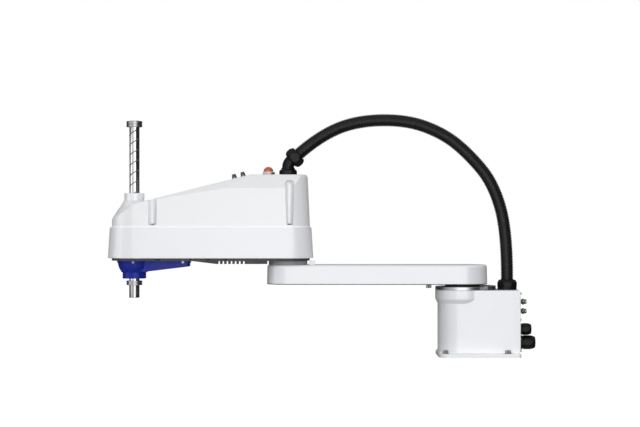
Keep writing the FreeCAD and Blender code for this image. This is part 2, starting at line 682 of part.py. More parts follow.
ring("j2_circular_spline", [(31.0, 223.5), (34.9, 223.5), (34.9, PL), (31.0, PL)], J2)
ring("j2_bearing_inner_ring", [(35.0, 222.5), (38.0, 222.5), (38.0, PL), (35.0, PL)], J2)

# ------------------------------------------------------------------ forearm cover
CT = d("cover_top")
SLOPE = math.tan(math.radians(14.13))
KNEE = -90.0  # where the flat top turns down, from the second axis
L2 = -d("reach_two")


def cover_solid(tag, inset, skirt):
    """Outer (inset 0) or inner surface of the cover as a closed solid."""
    c = body("cover_" + tag, node=False)
    s0 = capsule(new_sketch(c, "XY_Plane", PH - skirt), 0, d("cover_rad_a") - inset, L2, d("cover_rad_b") - inset)
    pad(c, s0, CT - PH + skirt - inset, draft=-2.6)
    k = inset * math.tan(math.radians(7.0))
    s1 = polygon(new_sketch(c, "XZ_Plane"), [
        (KNEE - k, CT - inset), (KNEE - k, CT + 40.0), (-480.0, CT + 40.0), (-480.0, CT - inset - (480.0 + KNEE) * SLOPE + 0.0)])
    pocket(c, s1, 400.0, mid=True)
    return c


def bevel(tag, inset):
    """Boxes whose lower faces are the bevel planes, both sides."""
    out = []
    tip_pt = V(-332.0, -54.1, 377.5)
    knee_low = V(-151.0, -50.7, 407.6)
    knee_top = V(-90.0, -37.0, 440.5)
    flat_low = V(0.0, -49.0, 407.6)
    for side in (1, -1):
        for a, bb, c in ((tip_pt, knee_low, knee_top), (knee_low, flat_low, knee_top)):
            pts = [V(p.x, p.y * side, p.z) for p in (a, bb, c)]
            nrm = (pts[1] - pts[0]).cross(pts[2] - pts[0])
            nrm.normalize()
            if nrm.z < 0:
                nrm = nrm * -1.0
            ux = V(1, 0, 0) - nrm * nrm.x
            ux.normalize()
            uy = nrm.cross(ux)
            o = pts[0] - nrm * inset - ux * 300.0 - uy * 200.0
            m = FreeCAD.Matrix(ux.x, uy.x, nrm.x, o.x, ux.y, uy.y, nrm.y, o.y, ux.z, uy.z, nrm.z, o.z, 0, 0, 0, 1)
            box = prim("Box", "bevel_%s" % tag, Length=900.0, Width=400.0, Height=120.0)
            box.Placement = FreeCAD.Placement(m)
            out.append(box)
    return out


def channels(tag, grow):
    """Screwdriver channels down the sides, above the four cover screws."""
    out = []
    for x, y, r, top in ((4.0, 43.6, 11.5, 416.5), (-326.0, 54.6, 10.0, 518.0)):
        for side in (1, -1):
            out.append(prim("Cylinder", "channel_%s" % tag, Radius=r + grow, Height=top - 318.0 + grow, at=(x, side * y, 318.0 - grow)))
            if top < 500.0:
                out.append(prim("Sphere", "channel_top_%s" % tag, Radius=r + grow, at=(x, side * y, top)))
    return out


def cone_solid(tag, inset):
    """The small cone and collar about the shaft."""
    c = body("cone_" + tag, node=False)
    i = inset
    turn(c, [(0, 345.0), (31.0 - i, 345.0), (37.0 - i * 1.15, 357.0 - i * 0.2), (31.0 - i, 368.0), (24.25 - i, 379.0 - i * 0.3),
             (24.25 - i, 395.4 + (8.0 if i else 0.0)), (0, 395.4 + (8.0 if i else 0.0))])
    return place(c, L2)


def nose_cutter(tag, inset):
    """What the nose lies inside of is a wide cone about an axis behind the shaft."""
    c = body("nose_" + tag, node=False)
    k = 1.19 * inset
    turn(c, [(0, 290.0), (84.3 - inset, 290.0), (84.0 - inset, 332.5 - inset * 0.3), (54.25 - k, 379.0), (14.9 - k, 440.5), (0, 440.5)])
    place(c, L2 + 30.0)
    box = prim("Box", "nose_box_" + tag, Length=110.0, Width=220.0, Height=200.0, at=(L2 - 80.0, -110.0, 295.0))
    return cut(box, c, "nose_cut_" + tag)


def rounded(obj, name, radius, pick):
    """A fillet of one radius on the picked edges of a boolean result."""
    doc.recompute()
    f = doc.addObject("Part::Fillet", name)
    f.Base = obj
    f.Edges = [(i + 1, radius, radius) for i, e in enumerate(obj.Shape.Edges) if pick(e.BoundBox, e.Length)]
    if not f.Edges:
        raise RuntimeError("no edge picked: " + name)
    return f


def cover_shape(tag, inset, grow, skirt):
    shell = cover_solid(tag, inset, skirt)
    body_cut = cut(shell, fuse(bevel(tag, inset) + [nose_cutter(tag, inset)], "cutters_" + tag), "trim_" + tag)
    body_cut = rounded(body_cut, "crown_" + tag, 8.0 - inset, lambda q, n: q.XMax > 40 and q.ZMin > 439 - inset)
    if not inset:
        body_cut = rounded(body_cut, "rims_" + tag, 4.0, lambda q, n: q.ZMax > 384 and q.XMax > -100 and n > 20 and q.ZMin > 330 and q.XMax < 44)
    whole = fuse([body_cut, cone_solid(tag, inset)], "whole_" + tag)
    return cut(whole, fuse(channels(tag, grow), "channels_" + tag), "form_" + tag)


outer = cover_shape("outer", 0.0, 0.0, 0.0)
inner_form = cover_shape("inner", 3.0, 3.0, 2.0)
holes = [prim("Cylinder", "elbow_hole", Radius=14.0, Height=40.0, at=(0, 0, 420.0)),
         prim("Cylinder", "lamp_hole", Radius=5.0, Height=40.0, at=(-48.0, 0, 420.0)),
         prim("Cylinder", "button_hole", Radius=3.4, Height=40.0, at=(-35.5, -14.5, 420.0))]
for x, y in ((4.0, 43.6), (-326.0, 54.6)):
    for side in (1, -1):
        holes.append(prim("Cylinder", "screw_hole", Radius=2.2, Height=12.0, at=(x, side * y, 308.0)))
cover = cut(outer, fuse([inner_form] + holes, "cover_void"), "arm2_top_cover")
place(cover, J2)
keep(cover, "arm2_top_cover")

cs = []
for x, y in ((4.0, 43.6), (-326.0, 54.6)):
    for side in (1, -1):
        cs.append(fuse([prim("Cylinder", "cs_head", Radius=3.6, Height=3.4, at=(J2 + x, side * y, 318.0)),
                        prim("Cylinder", "cs_shank", Radius=2.0, Height=18.0, at=(J2 + x, side * y, 300.0))], "cover_screw"))
keep(group(cs, "cover_screws"), "cover_screws")

# ------------------------------------------------------------------ blue lower cover
low = body("arm2_bottom_cover")


def tongue(half, tip_x, round_r):
    """Half-round cornered outline of the part that reaches back under the arm."""
    pts = [(0.0, -half), (tip_x - round_r, -half)]
    for k in range(1, 4):
        t = math.radians(22.5 * k)
        pts.append((tip_x - round_r + round_r * math.sin(t), -half + round_r - round_r * math.cos(t)))
    pts.append((tip_x, -half + round_r))
    return pts + [(x, -y) for x, y in reversed(pts)]


for z0, z1, half, tip_x in ((200.0, 217.6, 27.2, 133.4), (217.6, 225.4, 29.0, 135.2), (225.4, QL, 31.0, 137.0)):
    sk = polygon(new_sketch(low, "XY_Plane", z0), tongue(half, tip_x, 8.0))
    pad(low, sk, QL - z0 if z1 is QL else z1 - z0)
sk = polygon(new_sketch(low, "XZ_Plane"), [(-5.0, 195.0), (-5.0, 206.0), (28.0, 204.4), (145.0, 218.5), (145.0, 195.0)])
pocket(low, sk, 200.0, mid=True)
turn(low, [(0, 187.8), (28.7, 187.8), (28.7, 203.0), (31.5, 203.0), (33.2, 206.5), (37.0, 213.0), (38.0, 217.0), (38.8, 217.6), (40.0, 224.8), (41.2, 225.4), (42.4, QL), (0, QL)])
turn(low, [(0, 180.0), (20.6, 180.0), (20.6, 191.0), (28.2, 206.0), (35.5, 216.0), (38.0, 240.0), (0, 240.0)], cut=True)
sk = polygon(new_sketch(low, "XY_Plane", 219.5), [(30, -27), (133, -27), (133, 27), (30, 27)])
pocket(low, sk, 20.0)
place(low, J3)
bs = []
for dx, dy, down in ((1.0, 41.73, 0.208), (120.5, 31.0, 0.0)):
    for side in (1, -1):
        m = prim("Cylinder", "bs_head", Radius=3.2, Height=1.7)
        m.Placement = FreeCAD.Placement(V(num(J3) + dx, side * dy, 228.2), FreeCAD.Rotation(V(0, 0, 1), V(0, side * 1.0, -down)))
        bs.append(m)
keep(group(bs, "bottom_cover_screws"), "bottom_cover_screws")

# ------------------------------------------------------------------ on the cover
nut = body("elbow_base_nut")
sk = new_sketch(nut, "XY_Plane", CT)
hexpts = [(21.8 * math.cos(math.radians(60 * i)), 21.8 * math.sin(math.radians(60 * i))) for i in range(6)]
polygon(sk, hexpts)
circle(sk, 0, 0, 11.0)
pad(nut, sk, 13.5)
dress(nut, "Chamfer", 1.4, lambda e: e.BoundBox.ZMin > num(CT) + 13.4 and e.Length < 24)
place(nut, J2)

LEAN = 48.74
ux, uz = math.sin(math.radians(LEAN)), math.cos(math.radians(LEAN))
BEND = 468.0
NUT0 = 8.78
tilt = FreeCAD.Rotation(V(0, 1, 0), LEAN)


def lean_at(o, dist):
    o.Placement = FreeCAD.Placement(V(num(J2) + ux * dist, 0, BEND + uz * dist), tilt)
    return o


elbow = body("elbow_body")
spine = new_sketch(elbow, "XZ_Plane")
SWEEP = 18.0
back = SWEEP * math.tan(math.radians(LEAN / 2))
z_a = BEND - back
end = V(ux * back, BEND + uz * back, 0)
far = V(ux * NUT0, BEND + uz * NUT0, 0)
spine.addGeometry(Part.LineSegment(V(0, num(CT) + 13.5, 0), V(0, z_a, 0)))
mid = math.radians(180 - LEAN / 2)
spine.addGeometry(Part.ArcOfCircle(Part.Circle(V(SWEEP, z_a, 0), V(0, 0, 1), SWEEP), math.radians(180 - LEAN), math.pi))
spine.addGeometry(Part.LineSegment(end, far))
spine.addConstraint(Sketch("Coincident", 0, 2, 1, 2))
spine.addConstraint(Sketch("Coincident", 1, 1, 2, 1))
pin(spine, 0, 1, 0, CT + 13.5)
pin(spine, 0, 2, 0, z_a)
pin(spine, 1, 3, SWEEP, z_a)
spine.addConstraint(Sketch("DistanceX", -1, 1, 1, 1, end.x))
pin(spine, 2, 2, far.x, far.y)
prof = circle(new_sketch(elbow, "XY_Plane", CT + 13.5), 0, 0, 14.5)
circle(prof, 0, 0, 11.0)
doc.recompute()
pipe = elbow.newObject("PartDesign::AdditivePipe", "elbow_pipe")
pipe.Profile = prof
pipe.Spine = (spine, ["Edge1", "Edge2", "Edge3"])
tip(elbow, pipe, prof)
place(elbow, J2)
gn = body("elbow_gland_nut")
turn(gn, [(11.0, 0), (18.2, 0), (22.4, 3.2), (24.4, 8.5), (24.4, 17.5), (21.2, 24.0), (19.0, 26.2), (15.9, 26.2), (15.9, 23.5), (11.0, 23.5)])
lean_at(gn, NUT0)

ring("lamp_base", [(0, CT), (13.65, CT), (13.65, CT + 6.0), (12.4, CT + 7.0), (0, CT + 7.0)], J2 - 48.0)
lamp = body("lamp_dome")
turn(lamp, [(0, CT + 7.0), (11.85, CT + 7.0), (11.85, CT + 13.5), (11.2, CT + 16.6), (9.4, CT + 18.4), (6.0, CT + 19.2), (0, CT + 19.3)])
place(lamp, J2 - 48.0)
ring("brake_release_button", [(0, CT - 4.0), (3.0, CT - 4.0), (3.0, CT + 2.4), (4.4, CT + 2.4), (4.4, CT + 4.8), (3.6, CT + 5.6), (0, CT + 5.6)], J2 - 35.5, -14.5)

fit = []
for x in (-130.0, -109.0):
    m = body("arm_air_fitting", node=False)
    turn(m, [(2.0, 0.0), (6.2, 0.0), (6.2, 6.4), (5.2, 7.2), (5.2, 9.4), (4.3, 10.0), (4.3, 12.0), (2.0, 12.0)])
    zc = num(CT) - (abs(x) - 90.0) * SLOPE
    m.Placement = FreeCAD.Placement(V(num(J2) + x, 0, zc - 0.0), FreeCAD.Rotation(V(0, 1, 0), -14.13))
    fit.append(m)
keep(group(fit, "arm_air_fittings"), "arm_air_fittings")

# ------------------------------------------------------------------ shaft
SL, SH = d("shaft_low"), d("shaft_high")
ring("ball_screw_shaft", [(d("shaft_bore"), SL), (d("shaft_rad") - 0.6, SL), (d("shaft_rad"), SL + 0.6), (d("shaft_rad"), 171.5), (12.0, 171.5), (12.0, 182.2), (d("shaft_rad"), 182.2), (d("shaft_rad"), SH - 0.6), (d("shaft_rad") - 0.6, SH), (d("shaft_bore"), SH)], J3)
ring("upper_stop_ring", [(12.5, 556.5), (18.75, 556.5), (19.25, 557.0), (19.25, 563.2), (18.7, 563.6), (18.7, 564.2), (19.25, 564.6), (19.25, 570.5), (18.75, 571.0), (12.5, 571.0)], J3)
ring("lower_stop_ring", [(12.0, 171.5), (18.75, 171.5), (19.25, 172.0), (19.25, 181.7), (18.75, 182.2), (12.0, 182.2)], J3)

# ------------------------------------------------------------------ conduit
ROUTE = [(-400.7, 489.3), (-351.8, 532.2), (-260.8, 571.8), (-137.3, 574.8), (-44.4, 540.6), (20.1, 486.6), (76.6, 416.8), (109.0, 302.0), (109.0, 184.7)]
CUT_RUN = 5  # the two lengths meet at the middle of this run


def fillet_route(pts):
    """Straight runs joined by arcs as large as the shorter run allows."""
    P = [V(x, 0, z) for x, z in pts]
    items = []
    start = P[0]
    for i in range(1, len(P) - 1):
        a, c = P[i] - P[i - 1], P[i + 1] - P[i]
        la, lc = a.Length, c.Length
        a.normalize()
        c.normalize()
        turn_by = math.acos(max(-1.0, min(1.0, a.dot(c))))
        t = 0.45 * min(la, lc)
        r = t / math.tan(turn_by / 2)
        p0, p1 = P[i] - a * t, P[i] + c * t
        mid_dir = (c - a)
        mid_dir.normalize()
        centre = P[i] + mid_dir * (r / math.cos(turn_by / 2))
        pm = centre - mid_dir * r
        items.append((start, p0, pm, p1))
        start = p1
        print("conduit radius at point %d: %.0f mm, turn %.1f deg" % (i, r, math.degrees(turn_by)))
    return items, start, P[-1]


items, last, end = fillet_route(ROUTE)
M0 = (V(ROUTE[CUT_RUN][0], 0, ROUTE[CUT_RUN][1]) + V(ROUTE[CUT_RUN + 1][0], 0, ROUTE[CUT_RUN + 1][1])) * 0.5


def run_edges(lo, hi):
    edges = []
    for i in range(lo, hi):
        s, p0, pm, p1 = items[i]
        if i == lo and lo > 0:
            s = M0
        edges.append(Part.LineSegment(s, p0).toShape())
        edges.append(Part.Arc(p0, pm, p1).toShape())
    return edges


def sweep(label, edges, start, direction):
    wire = Part.Wire(edges)
    prof = Part.Wire([Part.Circle(start, direction, VALUE["conduit_rad"]).toShape()])
    solid = wire.makePipeShell([prof], True, False)
    f = doc.addObject("Part::Feature", label)
    f.Shape = solid
    f.Placement = FreeCAD.Placement()
    keep(f, label)
    want = math.pi * VALUE["conduit_rad"] ** 2 * wire.Length
    print("%s: length %.1f mm, volume %.0f, section x length %.0f" % (label, wire.Length, solid.Volume, want))
    return f


upper_edges = run_edges(0, CUT_RUN)
upper_edges.append(Part.LineSegment(items[CUT_RUN - 1][3], M0).toShape())
lower_edges = run_edges(CUT_RUN, len(items))
lower_edges.append(Part.LineSegment(last, end).toShape())
P0, P1 = V(ROUTE[0][0], 0, ROUTE[0][1]), V(ROUTE[1][0], 0, ROUTE[1][1])
sweep("conduit_upper", upper_edges, P0, P1 - P0)
sweep("conduit_lower", lower_edges, M0, V(ROUTE[CUT_RUN + 1][0], 0, ROUTE[CUT_RUN + 1][1]) - M0)

# ------------------------------------------------------------------ write
doc.recompute()
bad = []
for o in doc.Objects:
    if "Invalid" in o.State or "Error" in o.State:
        bad.append("%s (%s): %s" % (o.Name, o.Label, o.State))
if bad:
    raise RuntimeError("failed objects: " + "; ".join(bad))
for o in NODES:
    s = o.Shape
    if s.isNull() or not s.isValid() or not s.Solids:
        bad.append(o.Label)
if bad:
    raise RuntimeError("bad shapes: " + ", ".join(bad))
os.makedirs("parts", exist_ok=True)
for name in os.listdir("parts"):
    if name.endswith(".step"):
        os.remove(os.path.join("parts", name))
for o in NODES:
    o.Shape.exportStep("parts/%s.step" % o.Label)
    print("%-26s solids %2d volume %9.0f" % (o.Label, len(o.Shape.Solids), o.Shape.Volume))
print("nodes:", len(NODES))
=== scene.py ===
import json
import math
import bpy
import bmesh
import numpy as np
from mathutils import Matrix, Vector


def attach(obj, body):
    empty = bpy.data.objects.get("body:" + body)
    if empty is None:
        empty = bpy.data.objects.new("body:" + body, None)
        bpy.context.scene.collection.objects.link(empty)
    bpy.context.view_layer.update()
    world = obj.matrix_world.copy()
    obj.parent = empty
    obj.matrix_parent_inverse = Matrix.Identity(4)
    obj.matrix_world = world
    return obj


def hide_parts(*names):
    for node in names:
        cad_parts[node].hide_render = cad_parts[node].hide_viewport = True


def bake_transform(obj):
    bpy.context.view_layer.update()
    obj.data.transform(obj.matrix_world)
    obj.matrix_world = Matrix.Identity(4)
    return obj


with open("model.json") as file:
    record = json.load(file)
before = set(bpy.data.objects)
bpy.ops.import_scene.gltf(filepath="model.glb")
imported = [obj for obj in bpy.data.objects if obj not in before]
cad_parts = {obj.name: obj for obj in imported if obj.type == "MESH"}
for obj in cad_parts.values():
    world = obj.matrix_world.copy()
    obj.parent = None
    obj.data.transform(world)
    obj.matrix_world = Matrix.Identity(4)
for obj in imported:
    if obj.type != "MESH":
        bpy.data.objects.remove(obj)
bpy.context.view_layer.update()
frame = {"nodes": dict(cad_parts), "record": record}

NODES = frame["nodes"]
MM = 0.001
J2X, J3X = -0.425, -0.800

# ------------------------------------------------------------------ camera
scene = bpy.context.scene
cam_data = bpy.data.cameras.new("camera")
cam = bpy.data.objects.new("camera", cam_data)
scene.collection.objects.link(cam)
cam.location = (-0.34725, -4.51, 0.34591)
cam.rotation_euler = (math.radians(90), 0, 0)
cam_data.sensor_width = 36.0
cam_data.lens = 104.0
cam_data.clip_end = 100.0
scene.camera = cam
scene.view_settings.view_transform = "Standard"
scene.view_settings.look = "None"
scene.view_settings.exposure = 0.0
scene.view_settings.gamma = 1.0


# ------------------------------------------------------------------ helpers
def obj_from(name, bm, smooth=35.0):
    me = bpy.data.meshes.new(name)
    bmesh.ops.recalc_face_normals(bm, faces=bm.faces)
    bm.to_mesh(me)
    bm.free()
    o = bpy.data.objects.new(name, me)
    scene.collection.objects.link(o)
    shade(o, smooth)
    return o


def shade(o, angle=35.0):
    """Smooth faces, with edges sharper than the angle kept crisp."""
    me = o.data
    me.polygons.foreach_set("use_smooth", [True] * len(me.polygons))
    if angle < 180:
        bm = bmesh.new()
        bm.from_mesh(me)
        lim = math.radians(angle)
        for e in bm.edges:
            if len(e.link_faces) == 2:
                e.smooth = e.calc_face_angle(0.0) < lim
            else:
                e.smooth = False
        bm.to_mesh(me)
        bm.free()
    me.update()


def round_profile(pts, radii=None, default=0.0, steps=4):
    """Rounds the corners of an open (r, z) outline."""
    out = []
    n = len(pts)
    for i, p in enumerate(pts):
        r = default if radii is None else radii.get(i, default)
        if i in (0, n - 1) or r <= 0:
            out.append(tuple(p))
            continue
        a, b, c = Vector(pts[i - 1]), Vector(p), Vector(pts[i + 1])
        u, v = (a - b), (c - b)
        la, lc = u.length, v.length
        if la < 1e-9 or lc < 1e-9:
            out.append(tuple(p))
            continue
        u /= la
        v /= lc
        ang = u.angle(v)
        if ang > math.radians(175):
            out.append(tuple(p))
            continue
        t = min(r / math.tan(ang / 2), 0.45 * la, 0.45 * lc)
        rr = t * math.tan(ang / 2)
        centre = b + (u + v).normalized() * (rr / math.sin(ang / 2))
        p0, p1 = b + u * t, b + v * t
        a0 = math.atan2(p0.y - centre.y, p0.x - centre.x)
        a1 = math.atan2(p1.y - centre.y, p1.x - centre.x)
        d = (a1 - a0 + math.pi) % (2 * math.pi) - math.pi
        for k in range(steps + 1):
            a2 = a0 + d * k / steps
            out.append((centre.x + rr * math.cos(a2), centre.y + rr * math.sin(a2)))
    return out


def lathe(name, pts, seg=96, matrix=None, smooth=35.0, shapes=None, wobble=None, closed=False, phase=0.0):
    """Revolves an (r, z) outline in millimetres about Z. Ends on the axis close themselves; closed joins the last point to the first."""
    bm = bmesh.new()
    rings = []
    for i, (r, z) in enumerate(pts):
        if r < 1e-6:
            rings.append([bm.verts.new((0, 0, z * MM))])
            continue
        ring = []
        for k in range(seg):
            a = 2 * math.pi * k / seg + phase
            q = wobble(a, r, z) if wobble else r
            if shapes and i in shapes:
                q = shapes[i](a, r)
            ring.append(bm.verts.new((q * MM * math.cos(a), q * MM * math.sin(a), z * MM)))
        rings.append(ring)
    pairs = list(zip(rings[:-1], rings[1:]))
    if closed:
        pairs.append((rings[-1], rings[0]))
    for a, b in pairs:
        if len(a) == 1 and len(b) == 1:
            continue
        for k in range(seg):
            j = (k + 1) % seg
            if len(a) == 1:
                bm.faces.new((a[0], b[k], b[j]))
            elif len(b) == 1:
                bm.faces.new((a[k], a[j], b[0]))
            else:
                bm.faces.new((a[k], a[j], b[j], b[k]))
    if matrix is not None:
        bmesh.ops.transform(bm, matrix=matrix, verts=bm.verts)
    return obj_from(name, bm, smooth)


def hexed(flat, sides=6, turn=0.0, soft=0.0):
    """Radius at an angle of a regular polygon whose flats are at distance flat, its corners eased by soft."""
    step = 2 * math.pi / sides

    def f(a):
        b = (a + turn) % step - step / 2
        return flat / math.cos(abs(b) * (1 - soft))
    return f


def nut_wobble(flat, sides=6, turn=0.0):
    """Clips a turned outline to the flats of a nut."""
    h = hexed(flat, sides, turn)
    return lambda a, r, z: min(r, h(a))


def arc_ring(name, pts, gap_deg, mid_deg, seg=120, matrix=None, smooth=35.0):
    """A closed (r, z) outline revolved nearly all the way round, leaving a slit centred on mid_deg."""
    bm = bmesh.new()
    a0 = math.radians(mid_deg + gap_deg / 2)
    a1 = math.radians(mid_deg + 360 - gap_deg / 2)
    cols = []
    for k in range(seg + 1):
        a = a0 + (a1 - a0) * k / seg
        cols.append([bm.verts.new((r * MM * math.cos(a), r * MM * math.sin(a), z * MM)) for r, z in pts])
    n = len(pts)
    for c, d in zip(cols[:-1], cols[1:]):
        for i in range(n):
            bm.faces.new((c[i], c[(i + 1) % n], d[(i + 1) % n], d[i]))
    bm.faces.new(cols[0])
    bm.faces.new(cols[-1][::-1])
    if matrix is not None:
        bmesh.ops.transform(bm, matrix=matrix, verts=bm.verts)
    return obj_from(name, bm, smooth)


def cap_screw(name, head_r, head_h, key, matrix, knurl=0.0, seg=72, dome=0.0):
    """A screw head with a hexagonal socket, its seat at z = 0."""
    hx = hexed(key)
    top = head_h
    pts = [(1e-9, top * 0.42), (key, top * 0.45), (key, top - 0.35 - dome), (key * 1.08, top - 0.05), (head_r * 0.78, top), (head_r - 0.35, top - 0.12 - dome * 0.5), (head_r, top - 0.6 - dome), (head_r, 0.35), (head_r - 0.3, 0.0), (0.0, 0.0)]
    sh = {1: lambda a, r: hx(a), 2: lambda a, r: hx(a), 3: lambda a, r: hx(a) * 1.06}
    if knurl:
        sh[6] = lambda a, r: r + knurl * 0.5 * math.cos(a * seg / 2)
        sh[7] = lambda a, r: r + knurl * 0.5 * math.cos(a * seg / 2)
    return lathe(name, pts, seg, matrix, 30.0, sh)


def prism(name, outline, z0, z1, bevel=0.0, seg=2, matrix=None, hole=None, smooth=35.0):
    """Extrudes a closed (x, y) outline in millimetres from z0 to z1, with an optional bevel on its rims."""
    bm = bmesh.new()
    lo = [bm.verts.new((x * MM, y * MM, z0 * MM)) for x, y in outline]
    hi = [bm.verts.new((x * MM, y * MM, z1 * MM)) for x, y in outline]
    n = len(outline)
    f0 = bm.faces.new(lo[::-1])
    f1 = bm.faces.new(hi)
    for i in range(n):
        bm.faces.new((lo[i], lo[(i + 1) % n], hi[(i + 1) % n], hi[i]))
    if bevel:
        rim = [e for e in bm.edges if f0 in e.link_faces or f1 in e.link_faces]
        bmesh.ops.bevel(bm, geom=rim, offset=bevel * MM, segments=seg, affect="EDGES", profile=0.5)
    if matrix is not None:
        bmesh.ops.transform(bm, matrix=matrix, verts=bm.verts)
    return obj_from(name, bm, smooth)


def join(name, parts):
    """One object of several meshes, each keeping its own normals and slots."""
    bm = bmesh.new()
    mats = []
    for p in parts:
        me = p.data
        start = len(bm.faces)
        base = len(mats)
        bm.from_mesh(me)
        bm.faces.ensure_lookup_table()
        table = []
        for m in me.materials:
            if m not in mats:
                mats.append(m)
            table.append(mats.index(m))
        for f in bm.faces[start:]:
            f.material_index = table[f.material_index] if table else 0
    me = bpy.data.meshes.new(name)
    bm.to_mesh(me)
    bm.free()
    for m in mats:
        me.materials.append(m)
    o = bpy.data.objects.new(name, me)
    scene.collection.objects.link(o)
    for p in parts:
        bpy.data.objects.remove(p)
    return o


def at(x=0.0, y=0.0, z=0.0, rot=None):
    m = Matrix.Translation((x * MM, y * MM, z * MM))
    return m @ rot if rot is not None else m


def rot_y(deg):
    return Matrix.Rotation(math.radians(deg), 4, "Y")


def finish_piece(o, mat, body, nodes=()):
    if mat is not None:
        o.data.materials.clear()
        o.data.materials.append(mat)
    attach(o, body)
    if nodes:
        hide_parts(*nodes)
    return o


# ------------------------------------------------------------------ materials
def material(name, color, rough=0.4, metal=0.0, coat=0.0, coat_rough=0.1, spec=0.5, ior=1.45):
    m = bpy.data.materials.new(name)
    m.use_nodes = True
    nt = m.node_tree
    b = nt.nodes["Principled BSDF"]
    b.inputs["Base Color"].default_value = (*color, 1)
    b.inputs["Roughness"].default_value = rough
    b.inputs["Metallic"].default_value = metal
    b.inputs["Coat Weight"].default_value = coat
    b.inputs["Coat Roughness"].default_value = coat_rough
    b.inputs["Specular IOR Level"].default_value = spec
    b.inputs["IOR"].default_value = ior
    return m, nt, b


def coords(nt, scale=(1, 1, 1), loc=(0, 0, 0)):
    tc = nt.nodes.new("ShaderNodeTexCoord")
    mp = nt.nodes.new("ShaderNodeMapping")
    mp.inputs["Scale"].default_value = scale
    mp.inputs["Location"].default_value = loc
    nt.links.new(tc.outputs["Object"], mp.inputs["Vector"])
    return mp.outputs["Vector"]


def noise(nt, vec, scale, detail=3.0, rough=0.5):
    n = nt.nodes.new("ShaderNodeTexNoise")
    n.inputs["Scale"].default_value = scale
    n.inputs["Detail"].default_value = detail
    n.inputs["Roughness"].default_value = rough
    nt.links.new(vec, n.inputs["Vector"])
    return n.outputs["Fac"]


def ramp(nt, fac, stops):
    r = nt.nodes.new("ShaderNodeValToRGB")
    el = r.color_ramp.elements
    while len(el) < len(stops):
        el.new(0.5)
    for e, (p, c) in zip(el, stops):
        e.position = p
        e.color = (*c, 1) if len(c) == 3 else c
    nt.links.new(fac, r.inputs["Fac"])
    return r.outputs["Color"]


def remap(nt, fac, lo, hi, a=0.0, b=1.0):
    n = nt.nodes.new("ShaderNodeMapRange")
    n.inputs["From Min"].default_value = a
    n.inputs["From Max"].default_value = b
    n.inputs["To Min"].default_value = lo
    n.inputs["To Max"].default_value = hi
    nt.links.new(fac, n.inputs["Value"])
    return n.outputs["Result"]


def bump(nt, b, height, strength, dist, prev=None):
    n = nt.nodes.new("ShaderNodeBump")
    n.inputs["Strength"].default_value = strength
    n.inputs["Distance"].default_value = dist
    nt.links.new(height, n.inputs["Height"])
    if prev is not None:
        nt.links.new(prev, n.inputs["Normal"])
    nt.links.new(n.outputs["Normal"], b.inputs["Normal"])
    return n.outputs["Normal"]


def tint(nt, b, color, amount, scale=18.0):
    """A faint large-scale variation of the colour."""
    v = coords(nt)
    f = noise(nt, v, scale, 4.0, 0.6)
    dark = tuple(c * (1 - amount) for c in color)
    lite = tuple(min(1.0, c * (1 + amount)) for c in color)
    nt.links.new(ramp(nt, f, [(0.3, dark), (0.7, lite)]), b.inputs["Base Color"])


def paint(name, color, rough, grain, depth):
    """Sprayed coat on a casting: fine orange peel and a slightly uneven gloss."""
    m, nt, b = material(name, color, rough, coat=0.45, coat_rough=0.12, spec=0.45)
    tint(nt, b, color, 0.012, 9.0)
    v = coords(nt)
    nt.links.new(remap(nt, noise(nt, v, 60.0, 3.0), rough - 0.05, rough + 0.06, 0.3, 0.7), b.inputs["Roughness"])
    bump(nt, b, noise(nt, v, grain, 2.0), depth, 0.0004)
    return m


def metal(name, color, rough, kind="turned", strength=0.12, scale=900.0, amount=0.06):
    """Machined metal. turned has rings about Z, ground has fine lines, cast is grainy."""
    m, nt, b = material(name, color, rough, metal=1.0)
    if kind == "turned":
        v = coords(nt, (8, 8, scale))
    elif kind == "ground":
        v = coords(nt, (scale, scale, 30))
    elif kind == "brushed_x":
        v = coords(nt, (12, scale, scale))
    else:
        v = coords(nt, (scale / 3, scale / 3, scale / 3))
    f = noise(nt, v, 1.0, 4.0, 0.6)
    dark = tuple(c * (1 - amount) for c in color)
    lite = tuple(min(1.0, c * (1 + amount)) for c in color)
    nt.links.new(ramp(nt, f, [(0.25, dark), (0.75, lite)]), b.inputs["Base Color"])
    nt.links.new(remap(nt, f, max(0.05, rough - 0.08), rough + 0.1, 0.25, 0.75), b.inputs["Roughness"])
    bump(nt, b, f, strength, 0.0002)
    return m


def plastic(name, color, rough, grain=1400.0, depth=0.15, coat=0.0, spec=0.5, amount=0.03):
    m, nt, b = material(name, color, rough, coat=coat, spec=spec)
    tint(nt, b, color, amount, 25.0)
    v = coords(nt)
    nt.links.new(remap(nt, noise(nt, v, 120.0, 3.0), rough - 0.05, rough + 0.07, 0.3, 0.7), b.inputs["Roughness"])
    bump(nt, b, noise(nt, v, grain, 2.0), depth, 0.0002)
    return m


